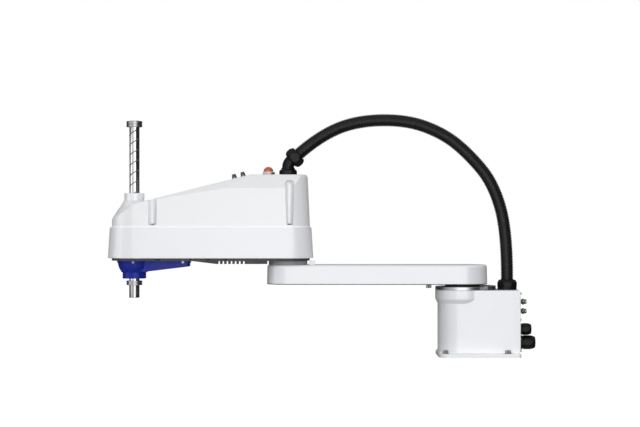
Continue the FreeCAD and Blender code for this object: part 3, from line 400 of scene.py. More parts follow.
WHITE = (0.80, 0.815, 0.84)
M = {
    "white_paint": paint("white_paint", WHITE, 0.34, 900.0, 0.07),
    "white_plastic": plastic("white_plastic", (0.80, 0.815, 0.835), 0.34, 1600.0, 0.05, coat=0.45, amount=0.008),
    "blue_plastic": plastic("blue_plastic", (0.009, 0.021, 0.29), 0.36, 1100.0, 0.10, spec=0.2, amount=0.08),
    "bare_aluminium": metal("bare_aluminium", (0.30, 0.305, 0.31), 0.50, "cast", 0.15, 2400.0),
    "machined_steel": metal("machined_steel", (0.27, 0.273, 0.277), 0.32, "turned", 0.06, 1500.0),
    "ground_steel": metal("ground_steel", (0.66, 0.66, 0.67), 0.20, "turned", 0.08, 1200.0),
    "fastener_steel": metal("fastener_steel", (0.15, 0.152, 0.155), 0.32, "cast", 0.15, 3000.0, 0.12),
    "plated_brass": metal("plated_brass", (0.17, 0.168, 0.162), 0.27, "cast", 0.08, 2600.0, 0.08),
    "black_nylon": plastic("black_nylon", (0.0045, 0.0045, 0.005), 0.40, 1500.0, 0.2, spec=0.14, amount=0.25),
    "black_conduit": plastic("black_conduit", (0.005, 0.005, 0.0055), 0.30, 900.0, 0.12, spec=0.36, amount=0.3),
    "black_rubber": plastic("black_rubber", (0.008, 0.008, 0.008), 0.62, 1300.0, 0.3, spec=0.25, amount=0.2),
    "motor_black": plastic("motor_black", (0.02, 0.02, 0.022), 0.45, 1200.0, 0.25, amount=0.2),
    "lamp_orange": plastic("lamp_orange", (0.56, 0.085, 0.028), 0.24, 700.0, 0.05, coat=0.25, amount=0.12),
    "green_button": plastic("green_button", (0.012, 0.07, 0.03), 0.35, 900.0, 0.1, amount=0.1),
}
SLOT = {s["node"]: s["material_slot"] for s in frame["record"]["subparts"]}
for name, o in NODES.items():
    mat = M[SLOT[name]]
    if not o.material_slots:
        o.data.materials.append(mat)
    for s in o.material_slots:
        s.material = mat
M["plate_gray"] = plastic("plate_gray", (0.050, 0.051, 0.053), 0.55, 1100.0, 0.3, spec=0.35, amount=0.06)
M["fin_gray"] = plastic("fin_gray", (0.085, 0.086, 0.088), 0.5, 1100.0, 0.3, spec=0.4, amount=0.06)
M["ring_gray"] = plastic("ring_gray", (0.25, 0.252, 0.256), 0.5, 1800.0, 0.2, spec=0.4, amount=0.05)
M["stop_steel"] = metal("stop_steel", (0.23, 0.23, 0.233), 0.34, "turned", 0.05, 900.0)
for name, key in (("arm2_under_plate", "plate_gray"), ("arm2_heat_sink", "fin_gray"), ("j2_bearing_outer_ring", "ring_gray")):
    for s in NODES[name].material_slots:
        s.material = M[key]


def groove_shaded_steel(name, centre_x, radius):
    """Ground steel that is darker wherever the surface lies below the outer radius (in metres): painted shade in the
    grooves.
    """
    m, nt, b = material(name, (0.6, 0.6, 0.6), 0.2, metal=1.0)
    geo = nt.nodes.new("ShaderNodeTexCoord")
    mp = nt.nodes.new("ShaderNodeMapping")
    mp.inputs["Location"].default_value = (-centre_x, 0, 0)
    mp.inputs["Scale"].default_value = (1, 1, 0)
    nt.links.new(geo.outputs["Object"], mp.inputs["Vector"])
    ln = nt.nodes.new("ShaderNodeVectorMath")
    ln.operation = "LENGTH"
    nt.links.new(mp.outputs["Vector"], ln.inputs[0])
    groove_shade = remap(nt, ln.outputs["Value"], 0.0, 1.0, radius - 0.00045, radius - 0.00005)
    part = nt.nodes.new("ShaderNodeSeparateXYZ")
    nt.links.new(geo.outputs["Object"], part.inputs[0])
    fade = nt.nodes.new("ShaderNodeVectorMath")
    fade.operation = "SCALE"
    # painted shade: the grooves, below the outer radius, take the dark colour and the outer surface the lighter one
    nt.links.new(ramp(nt, groove_shade, [(0.0, (0.11, 0.11, 0.112)), (1.0, (0.34, 0.34, 0.345))]), fade.inputs[0])
    # the colour is also scaled down to 0.66 below z 174 mm, at the shaft's end under the lower stop ring
    nt.links.new(remap(nt, part.outputs["Z"], 0.66, 1.0, 0.174, 0.180), fade.inputs["Scale"])
    nt.links.new(fade.outputs["Vector"], b.inputs["Base Color"])
    v = coords(nt, (8, 8, 700))
    f = noise(nt, v, 1.0, 3.0, 0.5)
    nt.links.new(remap(nt, f, 0.14, 0.22, 0.3, 0.7), b.inputs["Roughness"])
    bump(nt, b, f, 0.02, 0.0002)
    return m


M["shaft_steel"] = groove_shaded_steel("shaft_steel", -0.800, 0.0125)

# ------------------------------------------------------------------ conduit
ROUTE = [(-0.4007, 0.4893), (-0.3518, 0.5322), (-0.2608, 0.5718), (-0.1373, 0.5748), (-0.0444, 0.5406), (0.0201, 0.4866), (0.0766, 0.4168), (0.1090, 0.3020), (0.1090, 0.1847)]
MEET = ((ROUTE[5][0] + ROUTE[6][0]) / 2, (ROUTE[5][1] + ROUTE[6][1]) / 2)


def route_points(pts):
    """Points of the smooth line that has pts as its control points."""
    cu = bpy.data.curves.new("route", "CURVE")
    cu.dimensions = "3D"
    cu.resolution_u = 64
    sp = cu.splines.new("NURBS")
    sp.points.add(len(pts) - 1)
    for p, (x, z) in zip(sp.points, pts):
        p.co = (x, 0.0, z, 1.0)
    sp.order_u = 3
    sp.use_endpoint_u = True
    o = bpy.data.objects.new("route", cu)
    scene.collection.objects.link(o)
    bpy.context.view_layer.update()
    me = bpy.data.meshes.new_from_object(o)
    out = np.array([v.co[:] for v in me.vertices])
    bpy.data.objects.remove(o)
    bpy.data.curves.remove(cu)
    bpy.data.meshes.remove(me)
    return out


def walk(points, step):
    """Evenly spaced places along a line, with its direction at each."""
    seg = np.linalg.norm(np.diff(points, axis=0), axis=1)
    keep = np.r_[True, seg > 1e-7]
    points = points[keep]
    seg = np.linalg.norm(np.diff(points, axis=0), axis=1)
    cum = np.r_[0, np.cumsum(seg)]
    n = max(2, int(round(cum[-1] / step)))
    s = np.linspace(0, cum[-1], n + 1)
    p = np.stack([np.interp(s, cum, points[:, i]) for i in range(3)], axis=1)
    t = np.gradient(p, axis=0)
    t /= np.linalg.norm(t, axis=1)[:, None]
    return s, p, t, cum[-1]


def corrugated(name, points, outer, depth, pitch, seg=40, bore=0.0):
    """A corrugated tube: ridges with rounded crests and narrower grooves between them."""
    per = 8
    shape = [0.0, 0.55, 0.92, 1.0, 1.0, 0.92, 0.55, 0.0]
    s, p, t, total = walk(points, pitch / per * 1.0)
    turns = max(1, int(round(total / pitch)))
    s, p, t, total = walk(points, total / (turns * per))
    y = np.array([0.0, 1.0, 0.0])
    bm = bmesh.new()
    rings = []
    for k in range(len(s)):
        r = outer - depth * (1 - shape[k % per])
        side = np.cross(t[k], y)
        side /= np.linalg.norm(side)
        ring = []
        for j in range(seg):
            a = 2 * math.pi * j / seg
            ring.append(bm.verts.new(p[k] + r * (math.cos(a) * side + math.sin(a) * y)))
        rings.append(ring)
    for a, b in zip(rings[:-1], rings[1:]):
        for j in range(seg):
            bm.faces.new((a[j], a[(j + 1) % seg], b[(j + 1) % seg], b[j]))
    for ring in (rings[0], rings[-1]):
        bm.faces.new(ring)
    o = obj_from(name, bm, 60.0)
    return o, p, total


for label, pts, bodies, span, at_exit in (
    ("conduit_lower_hose", ROUTE[:5:-1] + [MEET], ("base", "arm1"), ((0.109, 0, 0.20), (0.064, 0, 0.435)), (0.109, 0.0, 0.1847)),
    ("conduit_upper_hose", ROUTE[:6] + [MEET], ("arm2", "arm1"), ((-0.375, 0, 0.50), (0.035, 0, 0.50)), (-0.4007, 0.0, 0.4893)),
):
    line = route_points(pts)
    hose, path, total = corrugated(label, line, 0.01535, 0.0019, 0.0039)
    hose.data.materials.append(M["black_conduit"])
    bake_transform(hose)
    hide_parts(label.replace("_hose", ""))
    print("%s: %.4f m" % (label, total))

# ------------------------------------------------------------------ more materials
M["fitting_black"] = plastic("fitting_black", (0.008, 0.008, 0.009), 0.25, 1500.0, 0.08, coat=0.3, amount=0.15)
M["fitting_gray"] = plastic("fitting_gray", (0.10, 0.10, 0.105), 0.3, 1500.0, 0.08, coat=0.2, amount=0.1)
M["fitting_blue"] = plastic("fitting_blue", (0.02, 0.03, 0.22), 0.28, 1500.0, 0.08, coat=0.3, amount=0.1)
M["lamp_white"] = plastic("lamp_white", (0.55, 0.59, 0.575), 0.32, 1500.0, 0.06, coat=0.2, amount=0.02)
# dark material of the pads painted as the shade inside the under-plate's slots
M["slot_painted_shade"] = plastic("slot_painted_shade", (0.02, 0.02, 0.02), 0.7, 1500.0, 0.2, spec=0.2, amount=0.2)


# ------------------------------------------------------------------ ball screw spline shaft
def helix_shaft(name, matrix):
    radius, lead, step, bore, lo, hi = 12.5, 50.0, 25.0, 9.0, 181.8, 571.9
    groove = [(-1.6, 0.0), (-1.3, 0.14), (-0.9, 0.56), (-0.4, 0.76), (0.4, 0.76), (0.9, 0.56), (1.3, 0.14), (1.6, 0.0)]
    rows = groove + [(7.0, 0.0), (12.5, 0.0), (18.0, 0.0)]
    flute = [(-7.6, 0.0), (-6.6, 0.14), (-4.6, 0.58), (-2.0, 0.84), (2.0, 0.84), (4.6, 0.58), (6.6, 0.14), (7.6, 0.0)]
    centres = [-30.0, 90.0, 210.0]
    cols = []
    for c in centres:
        cols += [((c + o + 90) % 360 - 90, d) for o, d in flute]
    for k in range(72):
        a = -90 + 5.0 * k
        if all(abs((a - c + 180) % 360 - 180) > 9.5 for c in centres):
            cols.append((a, 0.0))
    cols.sort()
    bm = bmesh.new()
    grid = []
    per = len(rows)
    for k in range(-14, 10):
        for off, dh in rows:
            line = []
            for a, ds in cols:
                r = radius - max(dh, ds)
                z = 420.5 + step * k + off + lead * (a + 90) / 360
                t = math.radians(a)
                line.append(bm.verts.new((r * math.cos(t), r * math.sin(t), z)))
            grid.append(line)
    n = len(cols)
    wrap = per * int(round(lead / step))
    for i in range(len(grid) - 1 - wrap):
        for j in range(n):
            if j < n - 1:
                q = (grid[i][j], grid[i][j + 1], grid[i + 1][j + 1], grid[i + 1][j])
            else:
                q = (grid[i][j], grid[i + wrap][0], grid[i + 1 + wrap][0], grid[i + 1][j])
            bm.faces.new(q)
    tube = [[bm.verts.new((bore * math.cos(math.radians(a)), bore * math.sin(math.radians(a)), z)) for a, _ in cols] for z in (100.0, 650.0)]
    for j in range(n):
        bm.faces.new((tube[0][j], tube[0][(j + 1) % n], tube[1][(j + 1) % n], tube[1][j]))
    for z, inner, outer in ((lo, True, False), (hi, False, True)):
        cut = bmesh.ops.bisect_plane(bm, geom=bm.verts[:] + bm.edges[:] + bm.faces[:], plane_co=(0, 0, z), plane_no=(0, 0, 1), clear_inner=inner, clear_outer=outer, dist=1e-5)
        rim = [e for e in cut["geom_cut"] if isinstance(e, bmesh.types.BMEdge)]
        bmesh.ops.triangle_fill(bm, use_beauty=True, use_dissolve=False, edges=rim)
    loose = [v for v in bm.verts if not v.link_faces]
    bmesh.ops.delete(bm, geom=loose, context="VERTS")
    bmesh.ops.transform(bm, matrix=matrix @ Matrix.Scale(MM, 4), verts=bm.verts)
    return obj_from(name, bm, 28.0)


SHAFT = at(-800.0)
screw = helix_shaft("shaft_screw", SHAFT)
tail = lathe("shaft_tail", [(9.0, 141.4), (9.6, 140.8), (11.9, 140.8), (12.5, 141.5), (12.5, 171.4), (12.1, 171.8), (12.1, 182.6), (9.0, 182.6)], 96, SHAFT, 30.0, closed=True)
finish_piece(join("shaft_screw_spline", [screw, tail]), M["shaft_steel"], "shaft", ("ball_screw_shaft",))


def stop_ring(name, z0, z1, node, split):
    mid = (z0 + z1) / 2
    pts = [(12.55, z0 + 0.5), (13.1, z0), (18.5, z0), (19.25, z0 + 0.75), (19.25, mid - 0.75), (18.9, mid - 0.6), (18.2, mid - 0.5), (18.2, mid + 0.5), (18.9, mid + 0.6), (19.25, mid + 0.75), (19.25, z1 - 0.75), (18.5, z1), (13.1, z1), (12.55, z1 - 0.5)]
    ring = arc_ring(name + "_ring", pts, 5.0, split, 144, SHAFT, 30.0)
    bits = [ring]
    for zz in ((z0 + mid) / 2, (z1 + mid) / 2):
        a = math.radians(split + 34)
        rot = Matrix.Rotation(a, 4, "Z") @ Matrix.Rotation(math.radians(90), 4, "Y")
        m = SHAFT @ Matrix.Translation((18.55 * MM * math.cos(a), 18.55 * MM * math.sin(a), zz * MM)) @ rot
        bits.append(cap_screw(name + "_screw", 2.3, 0.62, 1.15, m, seg=36))
    finish_piece(join(name, bits), M["stop_steel"], "shaft", (node,))


stop_ring("upper_ring", 556.5, 571.0, "upper_stop_ring", 96)
stop_ring("lower_ring", 171.5, 182.2, "lower_stop_ring", 96)

# ------------------------------------------------------------------ lamp and brake button
LAMP = at(-473.0, 0, 0)
dome = [(11.85, 447.5), (11.85, 448.6)]
for k in range(1, 15):
    t = math.radians(90 * k / 14)
    dome.append((11.75 * math.cos(t) if k < 14 else 0.0, 448.6 + 11.1 * math.sin(t)))
o = lathe("lamp_lens", dome, 144, LAMP, 50.0, wobble=lambda a, r, z: r + (0.16 * math.cos(18 * a) * min(1.0, r / 8.0) if z > 448.7 else 0.0))
finish_piece(o, M["lamp_orange"], "arm2", ("lamp_dome",))
pts = round_profile([(11.0, 447.9), (12.4, 447.9), (12.6, 446.9), (13.65, 446.3), (13.65, 441.0), (13.2, 440.5), (11.0, 440.5)], None, 0.35, 3)
o = lathe("lamp_socket", pts, 96, LAMP, 35.0, closed=True)
finish_piece(o, M["lamp_white"], "arm2", ("lamp_base",))

BUTTON = at(-460.5, -14.5, 0)
pts = round_profile([(0.0, 445.6), (3.2, 445.75), (4.1, 446.1), (4.4, 445.6), (4.4, 443.3), (4.1, 442.9), (3.0, 442.8), (3.0, 437.0), (0.0, 437.0)], None, 0.2, 2)
o = lathe("brake_button_cap", pts, 64, BUTTON, 30.0, wobble=lambda a, r, z: r + (0.06 * math.cos(24 * a) if r > 4.3 else 0))
finish_piece(o, M["green_button"], "brake_button", ("brake_release_button",))

# ------------------------------------------------------------------ air fittings on the cover
SLOPE = 14.13
for tag, x, ring_mat, ring_slot in (("front", -130.0, "fitting_gray", "black_nylon"), ("rear", -109.0, "fitting_blue", "blue_plastic")):
    z = 440.5 - (abs(x) - 90.0) * math.tan(math.radians(SLOPE))
    m = at(-425.0 + x, 0, z, rot_y(-SLOPE))
    pts = round_profile([(2.2, 2.9), (5.9, 2.9), (6.2, 2.5), (6.2, 0.3), (5.9, -0.6), (2.2, -0.6)], None, 0.2, 2)
    base_nut = lathe("arm_fitting_hex", pts, 96, m, 25.0, closed=True, wobble=nut_wobble(5.75))
    finish_piece(base_nut, M["plated_brass"], "arm2", ("arm_air_fittings",))
    pts = round_profile([(2.6, 2.8), (5.5, 2.8), (5.6, 3.3), (5.6, 8.2), (5.1, 9.1), (2.6, 9.2)], None, 0.5, 4)
    shell = lathe("arm_fitting_shell_" + tag, pts, 72, m, 35.0, closed=True)
    finish_piece(shell, M["fitting_black"], "arm2", ("arm_air_fittings",))
    pts = round_profile([(2.0, 8.4), (3.7, 8.4), (3.7, 10.0), (4.9, 10.3), (4.9, 11.6), (4.5, 12.0), (2.6, 12.0), (2.0, 11.4)], None, 0.25, 3)
    ring = lathe("arm_fitting_release_" + tag, pts, 72, m, 35.0, closed=True)
    finish_piece(ring, M[ring_mat], "arm2", ("arm_air_fittings",))

# ------------------------------------------------------------------ fittings and glands on the rear panel
def lay(x, y, z):
    return at(x, y, z, rot_y(90))


for k, z in enumerate((132.0, 109.0)):
    m = lay(136.0, -20.0, z)
    pts = round_profile([(3.0, -2.0), (9.0, -2.0), (9.2, 0.2), (9.2, 2.2), (8.2, 3.4), (5.4, 5.0), (4.9, 5.6), (4.9, 6.4), (3.0, 6.4)], None, 0.4, 3)
    a = lathe("rear_fitting_flange", pts, 96, m, 30.0, closed=True, wobble=nut_wobble(8.5) )
    pts = round_profile([(3.0, 5.8), (5.2, 6.0), (7.0, 7.6), (7.4, 9.4), (7.0, 11.4), (5.8, 12.8), (5.4, 13.4), (5.6, 14.2), (5.6, 17.2), (5.0, 18.0), (3.6, 18.0), (3.0, 17.2)], None, 0.6, 4)
    b = lathe("rear_fitting_body", pts, 96, m, 40.0, closed=True)
    finish_piece(join("rear_fitting_%d" % k, [a, b]), M["plated_brass"], "base", ("rear_air_fittings",))


def gland(tag, node, body, m, r, length, bore, seat, turn=0.0):
    """A cable gland in three pieces: a hexagonal foot, a waist with its washer, and a domed cap nut round a rubber seal."""
    foot = lathe(tag + "_foot", round_profile([(bore, -0.4), (r * 0.97, -0.4), (r, 0.6), (r, seat - 0.8), (r * 0.95, seat), (bore, seat)], None, 0.5, 3), 144, m, 25.0, closed=True, wobble=nut_wobble(r * 0.925, 6, turn))
    waist = lathe(tag + "_waist", [(bore, seat - 0.5), (r * 0.84, seat - 0.5), (r * 0.84, seat + 2.2), (bore, seat + 2.2)], 96, m, 30.0, closed=True)
    s0, s1 = seat + 1.4, length
    body_end = s0 + (s1 - s0) * 0.42
    pts = [(bore + 0.3, s0), (r * 0.93, s0), (r * 0.99, s0 + 1.0), (r, s0 + 2.0), (r, body_end)]
    for k in range(1, 8):
        t = math.radians(80 * k / 7)
        pts.append((r * 0.66 + r * 0.34 * math.cos(t), body_end + (s1 - body_end) * math.sin(t) / math.sin(math.radians(80))))
    pts += [(bore + 1.5, s1), (bore + 0.3, s1 - 1.0)]
    cap = lathe(tag + "_cap", pts, 144, m, 25.0, closed=True, wobble=nut_wobble(r * 0.93, 6, turn))
    finish_piece(join(tag, [foot, waist, cap]), M["black_nylon"], body, (node,))
    seal = lathe(tag + "_seal", round_profile([(bore, s1 - 8), (bore + 1.4, s1 - 8), (bore + 1.4, s1 - 1.6), (bore + 0.4, s1 - 0.9), (bore, s1 - 1.4)], None, 0.3, 2), 72, m, 35.0, closed=True)
    finish_piece(seal, M["black_rubber"], body, (node,))


gland("rear_gland_signal", "rear_upper_gland", "base", lay(136.0, -14.0, 65.0), 14.4, 30.0, 7.0, 6.5, 0.0)
gland("rear_gland_power", "rear_lower_gland", "base", lay(136.0, -14.0, 33.0), 17.0, 39.5, 9.0, 9.0, 0.0)

# ------------------------------------------------------------------ conduit gland on the base, elbow on the arm
GB = at(109.0, 0, 0)
pts = round_profile([(16.0, 160.4), (23.0, 160.4), (23.4, 161.0), (23.4, 165.6), (22.6, 166.6), (16.0, 166.6)], None, 0.4, 3)
o = lathe("conduit_gland_foot", pts, 144, GB, 25.0, closed=True, wobble=nut_wobble(22.2, 6, 0.2))
finish_piece(o, M["black_nylon"], "base", ("base_gland_body",))
pts = round_profile([(15.5, 166.6), (23.2, 166.6), (24.4, 167.6), (24.4, 176.6), (23.6, 178.4), (20.2, 183.8), (19.0, 184.7), (16.4, 184.7), (15.5, 183.6)], None, 0.9, 4)
o = lathe("conduit_gland_nut", pts, 192, GB, 24.0, closed=True, wobble=nut_wobble(23.2, 8, math.radians(22.5)))
finish_piece(o, M["black_nylon"], "base", ("base_gland_nut",))

ELB = at(-425.0, 0, 0)
pts = round_profile([(11.0, 440.5), (21.0, 440.5), (21.6, 441.2), (21.6, 449.6), (20.8, 450.6), (17.0, 454.0), (11.0, 454.0)], None, 0.6, 3)
o = lathe("elbow_foot_nut", pts, 144, ELB, 24.0, closed=True, wobble=nut_wobble(20.2))
finish_piece(o, M["black_nylon"], "arm2", ("elbow_base_nut",))
pts = round_profile([(13.8, 453.6), (16.0, 453.6), (16.4, 454.2), (16.4, 456.8), (15.9, 457.6), (13.8, 457.8)], None, 0.4, 3)
o = lathe("elbow_collar", pts, 96, ELB, 30.0, closed=True)
finish_piece(o, M["black_nylon"], "arm2")

LEAN = 48.74
TIP = Matrix.Translation((-0.425, 0, 0.468)) @ rot_y(LEAN)
pts = round_profile([(14.2, 8.4), (17.3, 8.5), (18.3, 9.0), (22.5, 12.3), (24.3, 17.5), (24.3, 26.0), (21.2, 32.7), (19.0, 34.85), (16.6, 34.85), (15.7, 34.0), (15.7, 20.0), (14.2, 20.0)], None, 0.5, 3)
o = lathe("elbow_clamp_nut", pts, 192, TIP, 22.0, closed=True, wobble=nut_wobble(21.4, 6, math.radians(0)))
finish_piece(o, M["black_nylon"], "arm2", ("elbow_gland_nut",))

# ------------------------------------------------------------------ screws and bolts
bolts = []
for x in (-46.0, 104.0):
    for y in (-75.0, 75.0):
        m = at(x, y, 9.5)
        bolts.append(cap_screw("bolt_head", 6.5, 8.0, 3.1, m, knurl=0.16, seg=144))
        thread = [(0.0, 0.2), (3.6, 0.2), (3.6, -9.5)]
        z = -9.5
        while z > -24.6:
            thread += [(4.0, z - 0.45), (3.45, z - 1.05)]
            z -= 1.25
        thread += [(3.3, -25.4), (0.0, -25.5)]
        bolts.append(lathe("bolt_thread", thread, 36, m, 20.0))
        bolts.append(lathe("bolt_washer", round_profile([(4.2, 0.0), (7.6, 0.0), (7.6, 1.2), (4.2, 1.2)], None, 0.25, 2), 72, m, 35.0, closed=True))
finish_piece(join("foot_bolts", bolts), M["fastener_steel"], "base", ("base_mounting_bolts",))

screws = []
for z in (15.5, 90.0, 152.5):
    for y in (-55.5, 55.5):
        screws.append(cap_screw("panel_screw", 3.6, 1.9, 1.5, lay(136.0, y, z), seg=48, dome=0.3))
finish_piece(join("panel_screw_heads", screws), M["fastener_steel"], "base", ("rear_panel_screws",))

screws = []
for x, y in ((-421.0, 43.6), (-421.0, -43.6), (-751.0, 54.6), (-751.0, -54.6)):
    screws.append(cap_screw("cover_screw", 3.6, 3.4, 1.5, at(x, y, 318.0), seg=48))
finish_piece(join("cover_screw_heads", screws), M["fastener_steel"], "arm2", ("cover_screws",))

o = cap_screw("arm_stop_bolt", 6.5, 9.6, 3.1, at(-82.0, 0, 173.8, Matrix.Rotation(math.pi, 4, "X")), knurl=0.16, seg=144)
finish_piece(o, M["fastener_steel"], "arm1", ("j1_stop_bolt",))

# ------------------------------------------------------------------ dark pads on the edge of the under-plate: painted shade standing for its slots
bits = []
for x0, x1 in ((-744.9, -733.2), (-661.9, -657.6), (-619.4, -612.4), (-577.0, -571.0)):
    for side in (1, -1):
        edge = 52.7 + 2.2 * (-425.0 - (x0 + x1) / 2) / 375.0
        ys = sorted((side * (edge - 1.5), side * (edge + 0.12)))
        # each pad is painted shade of a slot, standing 0.12 mm proud of the plate's side
        bits.append(prism("plate_slot", [(x0, ys[0]), (x1, ys[0]), (x1, ys[1]), (x0, ys[1])], 232.9, 236.4))
finish_piece(join("plate_slot_shade_pads", bits), M["slot_painted_shade"], "arm2")

# ------------------------------------------------------------------ rim of the cover where it meets the arm, in a lighter white than the cover: a painted highlight along the rim
def cover_line(off, z):
    """Outline of the cover at one height, moved outwards by off, in millimetres."""
    ra, rb = 53.3 - (z - 312.0) * 0.04541 + off, 57.6 - (z - 312.0) * 0.04541 + off
    lean = math.degrees(math.asin((rb - ra) / 375.0))
    out = []
    for k in range(240):
        a = 1.5 * k
        rear = a < 90 - lean or a > 270 + lean
        cx, r = (-425.0, ra) if rear else (-800.0, rb)
        x, y = cx + r * math.cos(math.radians(a)), r * math.sin(math.radians(a))
        dist = math.hypot(x + 770.0, y)
        if x < -800.0 and dist > 84.3 + off:
            x, y = -770.0 + (x + 770.0) * (84.3 + off) / dist, y * (84.3 + off) / dist
        out.append((x, y))
    return out


bm = bmesh.new()
loops = [[bm.verts.new((x * MM, y * MM, z * MM)) for x, y in cover_line(off, z)] for off, z in ((-0.5, 312.1), (0.30, 312.1), (0.45, 312.6), (0.35, 314.7), (0.05, 315.2), (-0.5, 315.2))]
for a, b in zip(loops, loops[1:] + loops[:1]):
    for k in range(240):
        bm.faces.new((a[k], a[(k + 1) % 240], b[(k + 1) % 240], b[k]))
# the rim's brighter white is a painted highlight, the light line along the cover's lower edge
M["rim_painted_highlight"] = plastic("rim_painted_highlight", (0.96, 0.965, 0.975), 0.4, 1600.0, 0.05, amount=0.005)
finish_piece(obj_from("cover_rim", bm, 40.0), M["rim_painted_highlight"], "arm2")


# ------------------------------------------------------------------ dark strip round the first arm's lower edge: painted shade under the edge
def arm_line(off):
    """Outline of the first arm, moved outwards by off, in millimetres."""
    ra, rb = 60.5 + off, 51.5 + off
    lean = math.degrees(math.asin((rb - ra) / 425.0))
    out = []
    for k in range(240):
        a = 1.5 * k
        cx, r = (0.0, ra) if a < 90 - lean or a > 270 + lean else (-425.0, rb)
        out.append((cx + r * math.cos(math.radians(a)), r * math.sin(math.radians(a))))
    return out


bm = bmesh.new()
loops = [[bm.verts.new((x * MM, y * MM, z * MM)) for x, y in arm_line(off)] for off, z in ((-1.7, 173.92), (-1.25, 173.92), (0.09, 175.26), (0.09, 175.9), (-0.5, 175.9), (-1.7, 174.6))]
for a, b in zip(loops, loops[1:] + loops[:1]):
    for k in range(240):
        bm.faces.new((a[k], a[(k + 1) % 240], b[(k + 1) % 240], b[k]))
# the strip's dark gray is painted shade along the arm's lower edge
M["edge_painted_shade"] = plastic("edge_painted_shade", (0.10, 0.102, 0.105), 0.6, 1200.0, 0.1, spec=0.3, amount=0.05)
finish_piece(obj_from("arm_lower_edge_shade", bm, 30.0), M["edge_painted_shade"], "arm1")

# ------------------------------------------------------------------ floor and light
floor_mesh = bpy.data.meshes.new("floor")
bm = bmesh.new()
SIZE = 14.0
vs = [bm.verts.new(q) for q in ((-SIZE, -SIZE, 0), (SIZE, -SIZE, 0), (SIZE, SIZE, 0), (-SIZE, SIZE, 0))]
bm.faces.new(vs)
bm.to_mesh(floor_mesh)
bm.free()
floor = bpy.data.objects.new("floor", floor_mesh)
scene.collection.objects.link(floor)
fm, fnt, fb = material("floor_white", (0.14, 0.14, 0.14), 0.9, spec=0.0)
fb.inputs["Emission Color"].default_value = (1, 1, 1, 1)
fb.inputs["Emission Strength"].default_value = 0.92
floor_mesh.materials.append(fm)
floor.visible_diffuse = False
floor.visible_glossy = False
floor.visible_shadow = False

world = bpy.data.worlds.new("studio")
world.use_nodes = True
wn = world.node_tree
wn.nodes.clear()
wl = wn.links


def w_node(kind, **props):
    n = wn.nodes.new(kind)
    for k, v in props.items():
        setattr(n, k, v)
    return n


w_dir = w_node("ShaderNodeTexCoord").outputs["Generated"]
w_nrm = w_node("ShaderNodeVectorMath", operation="NORMALIZE")
wl.new(w_dir, w_nrm.inputs[0])
w_vec = w_nrm.outputs[0]


def lobe(azimuth, elevation, inner, outer, strength):
    """Soft round light patch on the sky. Azimuth 0 is the camera's side, positive towards +X."""
    a, e = math.radians(azimuth), math.radians(elevation)
    d = (math.sin(a) * math.cos(e), -math.cos(a) * math.cos(e), math.sin(e))
    dot = w_node("ShaderNodeVectorMath", operation="DOT_PRODUCT")
    wl.new(w_vec, dot.inputs[0])
    dot.inputs[1].default_value = d
    mr = w_node("ShaderNodeMapRange", interpolation_type="SMOOTHSTEP")
    mr.inputs["From Min"].default_value = math.cos(math.radians(outer))
    mr.inputs["From Max"].default_value = math.cos(math.radians(inner))
    mr.inputs["To Min"].default_value = 0.0
    mr.inputs["To Max"].default_value = strength
    wl.new(dot.outputs["Value"], mr.inputs["Value"])
    return mr.outputs["Result"]


w_sep = w_node("ShaderNodeSeparateXYZ")
wl.new(w_vec, w_sep.inputs[0])
w_up = w_node("ShaderNodeMapRange", interpolation_type="SMOOTHSTEP")
w_up.inputs["From Min"].default_value = 0.05
w_up.inputs["From Max"].default_value = 1.0
w_up.inputs["To Min"].default_value = 0.06
w_up.inputs["To Max"].default_value = 0.62
wl.new(w_sep.outputs["Z"], w_up.inputs["Value"])
w_dn = w_node("ShaderNodeMapRange", interpolation_type="SMOOTHSTEP")
w_dn.inputs["From Min"].default_value = -0.1
w_dn.inputs["From Max"].default_value = -1.0
w_dn.inputs["To Min"].default_value = 0.0
w_dn.inputs["To Max"].default_value = 0.30
wl.new(w_sep.outputs["Z"], w_dn.inputs["Value"])
parts = [w_up.outputs["Result"], w_dn.outputs["Result"],
         lobe(50, 46, 8, 38, 0.60),
         lobe(-45, 46, 8, 38, 0.45),
         lobe(-72, 4, 4, 24, 0.10)]
w_path = w_node("ShaderNodeLightPath")
strip = w_node("ShaderNodeMath", operation="MULTIPLY")
wl.new(lobe(-20, 2, 34, 62, 1.5), strip.inputs[0])
wl.new(w_path.outputs["Is Glossy Ray"], strip.inputs[1])
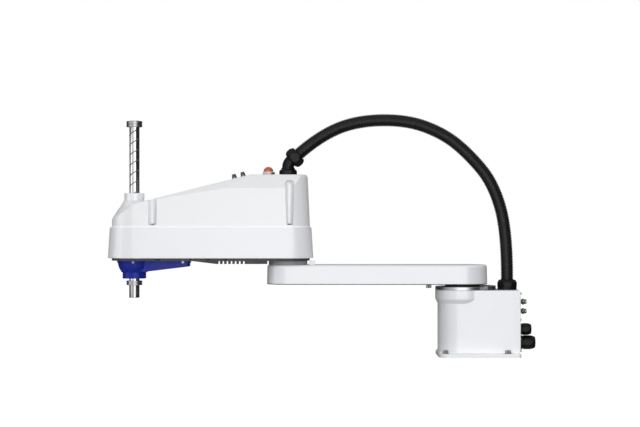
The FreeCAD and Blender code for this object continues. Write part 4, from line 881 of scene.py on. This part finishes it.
parts.append(strip.outputs[0])
w_dim = w_node("ShaderNodeMath", operation="MULTIPLY_ADD")
wl.new(w_path.outputs["Is Glossy Ray"], w_dim.inputs[0])
w_dim.inputs[1].default_value = -0.85
w_dim.inputs[2].default_value = 1.0
for q in (lobe(-152, 14, 12, 36, 0.25), lobe(150, 14, 14, 40, 0.50), lobe(180, 24, 10, 50, 0.55)):
    part = w_node("ShaderNodeMath", operation="MULTIPLY")
    wl.new(q, part.inputs[0])
    wl.new(w_dim.outputs[0], part.inputs[1])
    parts.append(part.outputs[0])
total = parts[0]
for q in parts[1:]:
    add = w_node("ShaderNodeMath", operation="ADD")
    wl.new(total, add.inputs[0])
    wl.new(q, add.inputs[1])
    total = add.outputs[0]
w_lit = w_node("ShaderNodeBackground")
w_lit.inputs["Color"].default_value = (1.0, 1.0, 1.0, 1)
wl.new(total, w_lit.inputs["Strength"])
w_seen = w_node("ShaderNodeBackground")
w_seen.inputs["Color"].default_value = (1, 1, 1, 1)
w_seen.inputs["Strength"].default_value = 1.0
w_mix = w_node("ShaderNodeMixShader")
wl.new(w_path.outputs["Is Camera Ray"], w_mix.inputs[0])
wl.new(w_lit.outputs[0], w_mix.inputs[1])
wl.new(w_seen.outputs[0], w_mix.inputs[2])
w_out = w_node("ShaderNodeOutputWorld")
wl.new(w_mix.outputs[0], w_out.inputs["Surface"])
scene.world = world


def area(name, loc, target, size, size_y, radiance):
    ld = bpy.data.lights.new(name, "AREA")
    ld.shape = "RECTANGLE"
    ld.size = size
    ld.size_y = size_y
    ld.energy = radiance * math.pi * size * size_y
    o = bpy.data.objects.new(name, ld)
    scene.collection.objects.link(o)
    o.location = loc
    o.rotation_euler = (Vector(target) - Vector(loc)).to_track_quat("-Z", "Y").to_euler()
    o.visible_camera = False
    return o


area("key", (-0.20, -1.7, 0.36), (-0.22, 0, 0.32), 1.5, 1.1, 3.3)
area("side", (-1.42, -0.24, 0.34), (-0.86, 0, 0.29), 0.45, 0.45, 2.0)
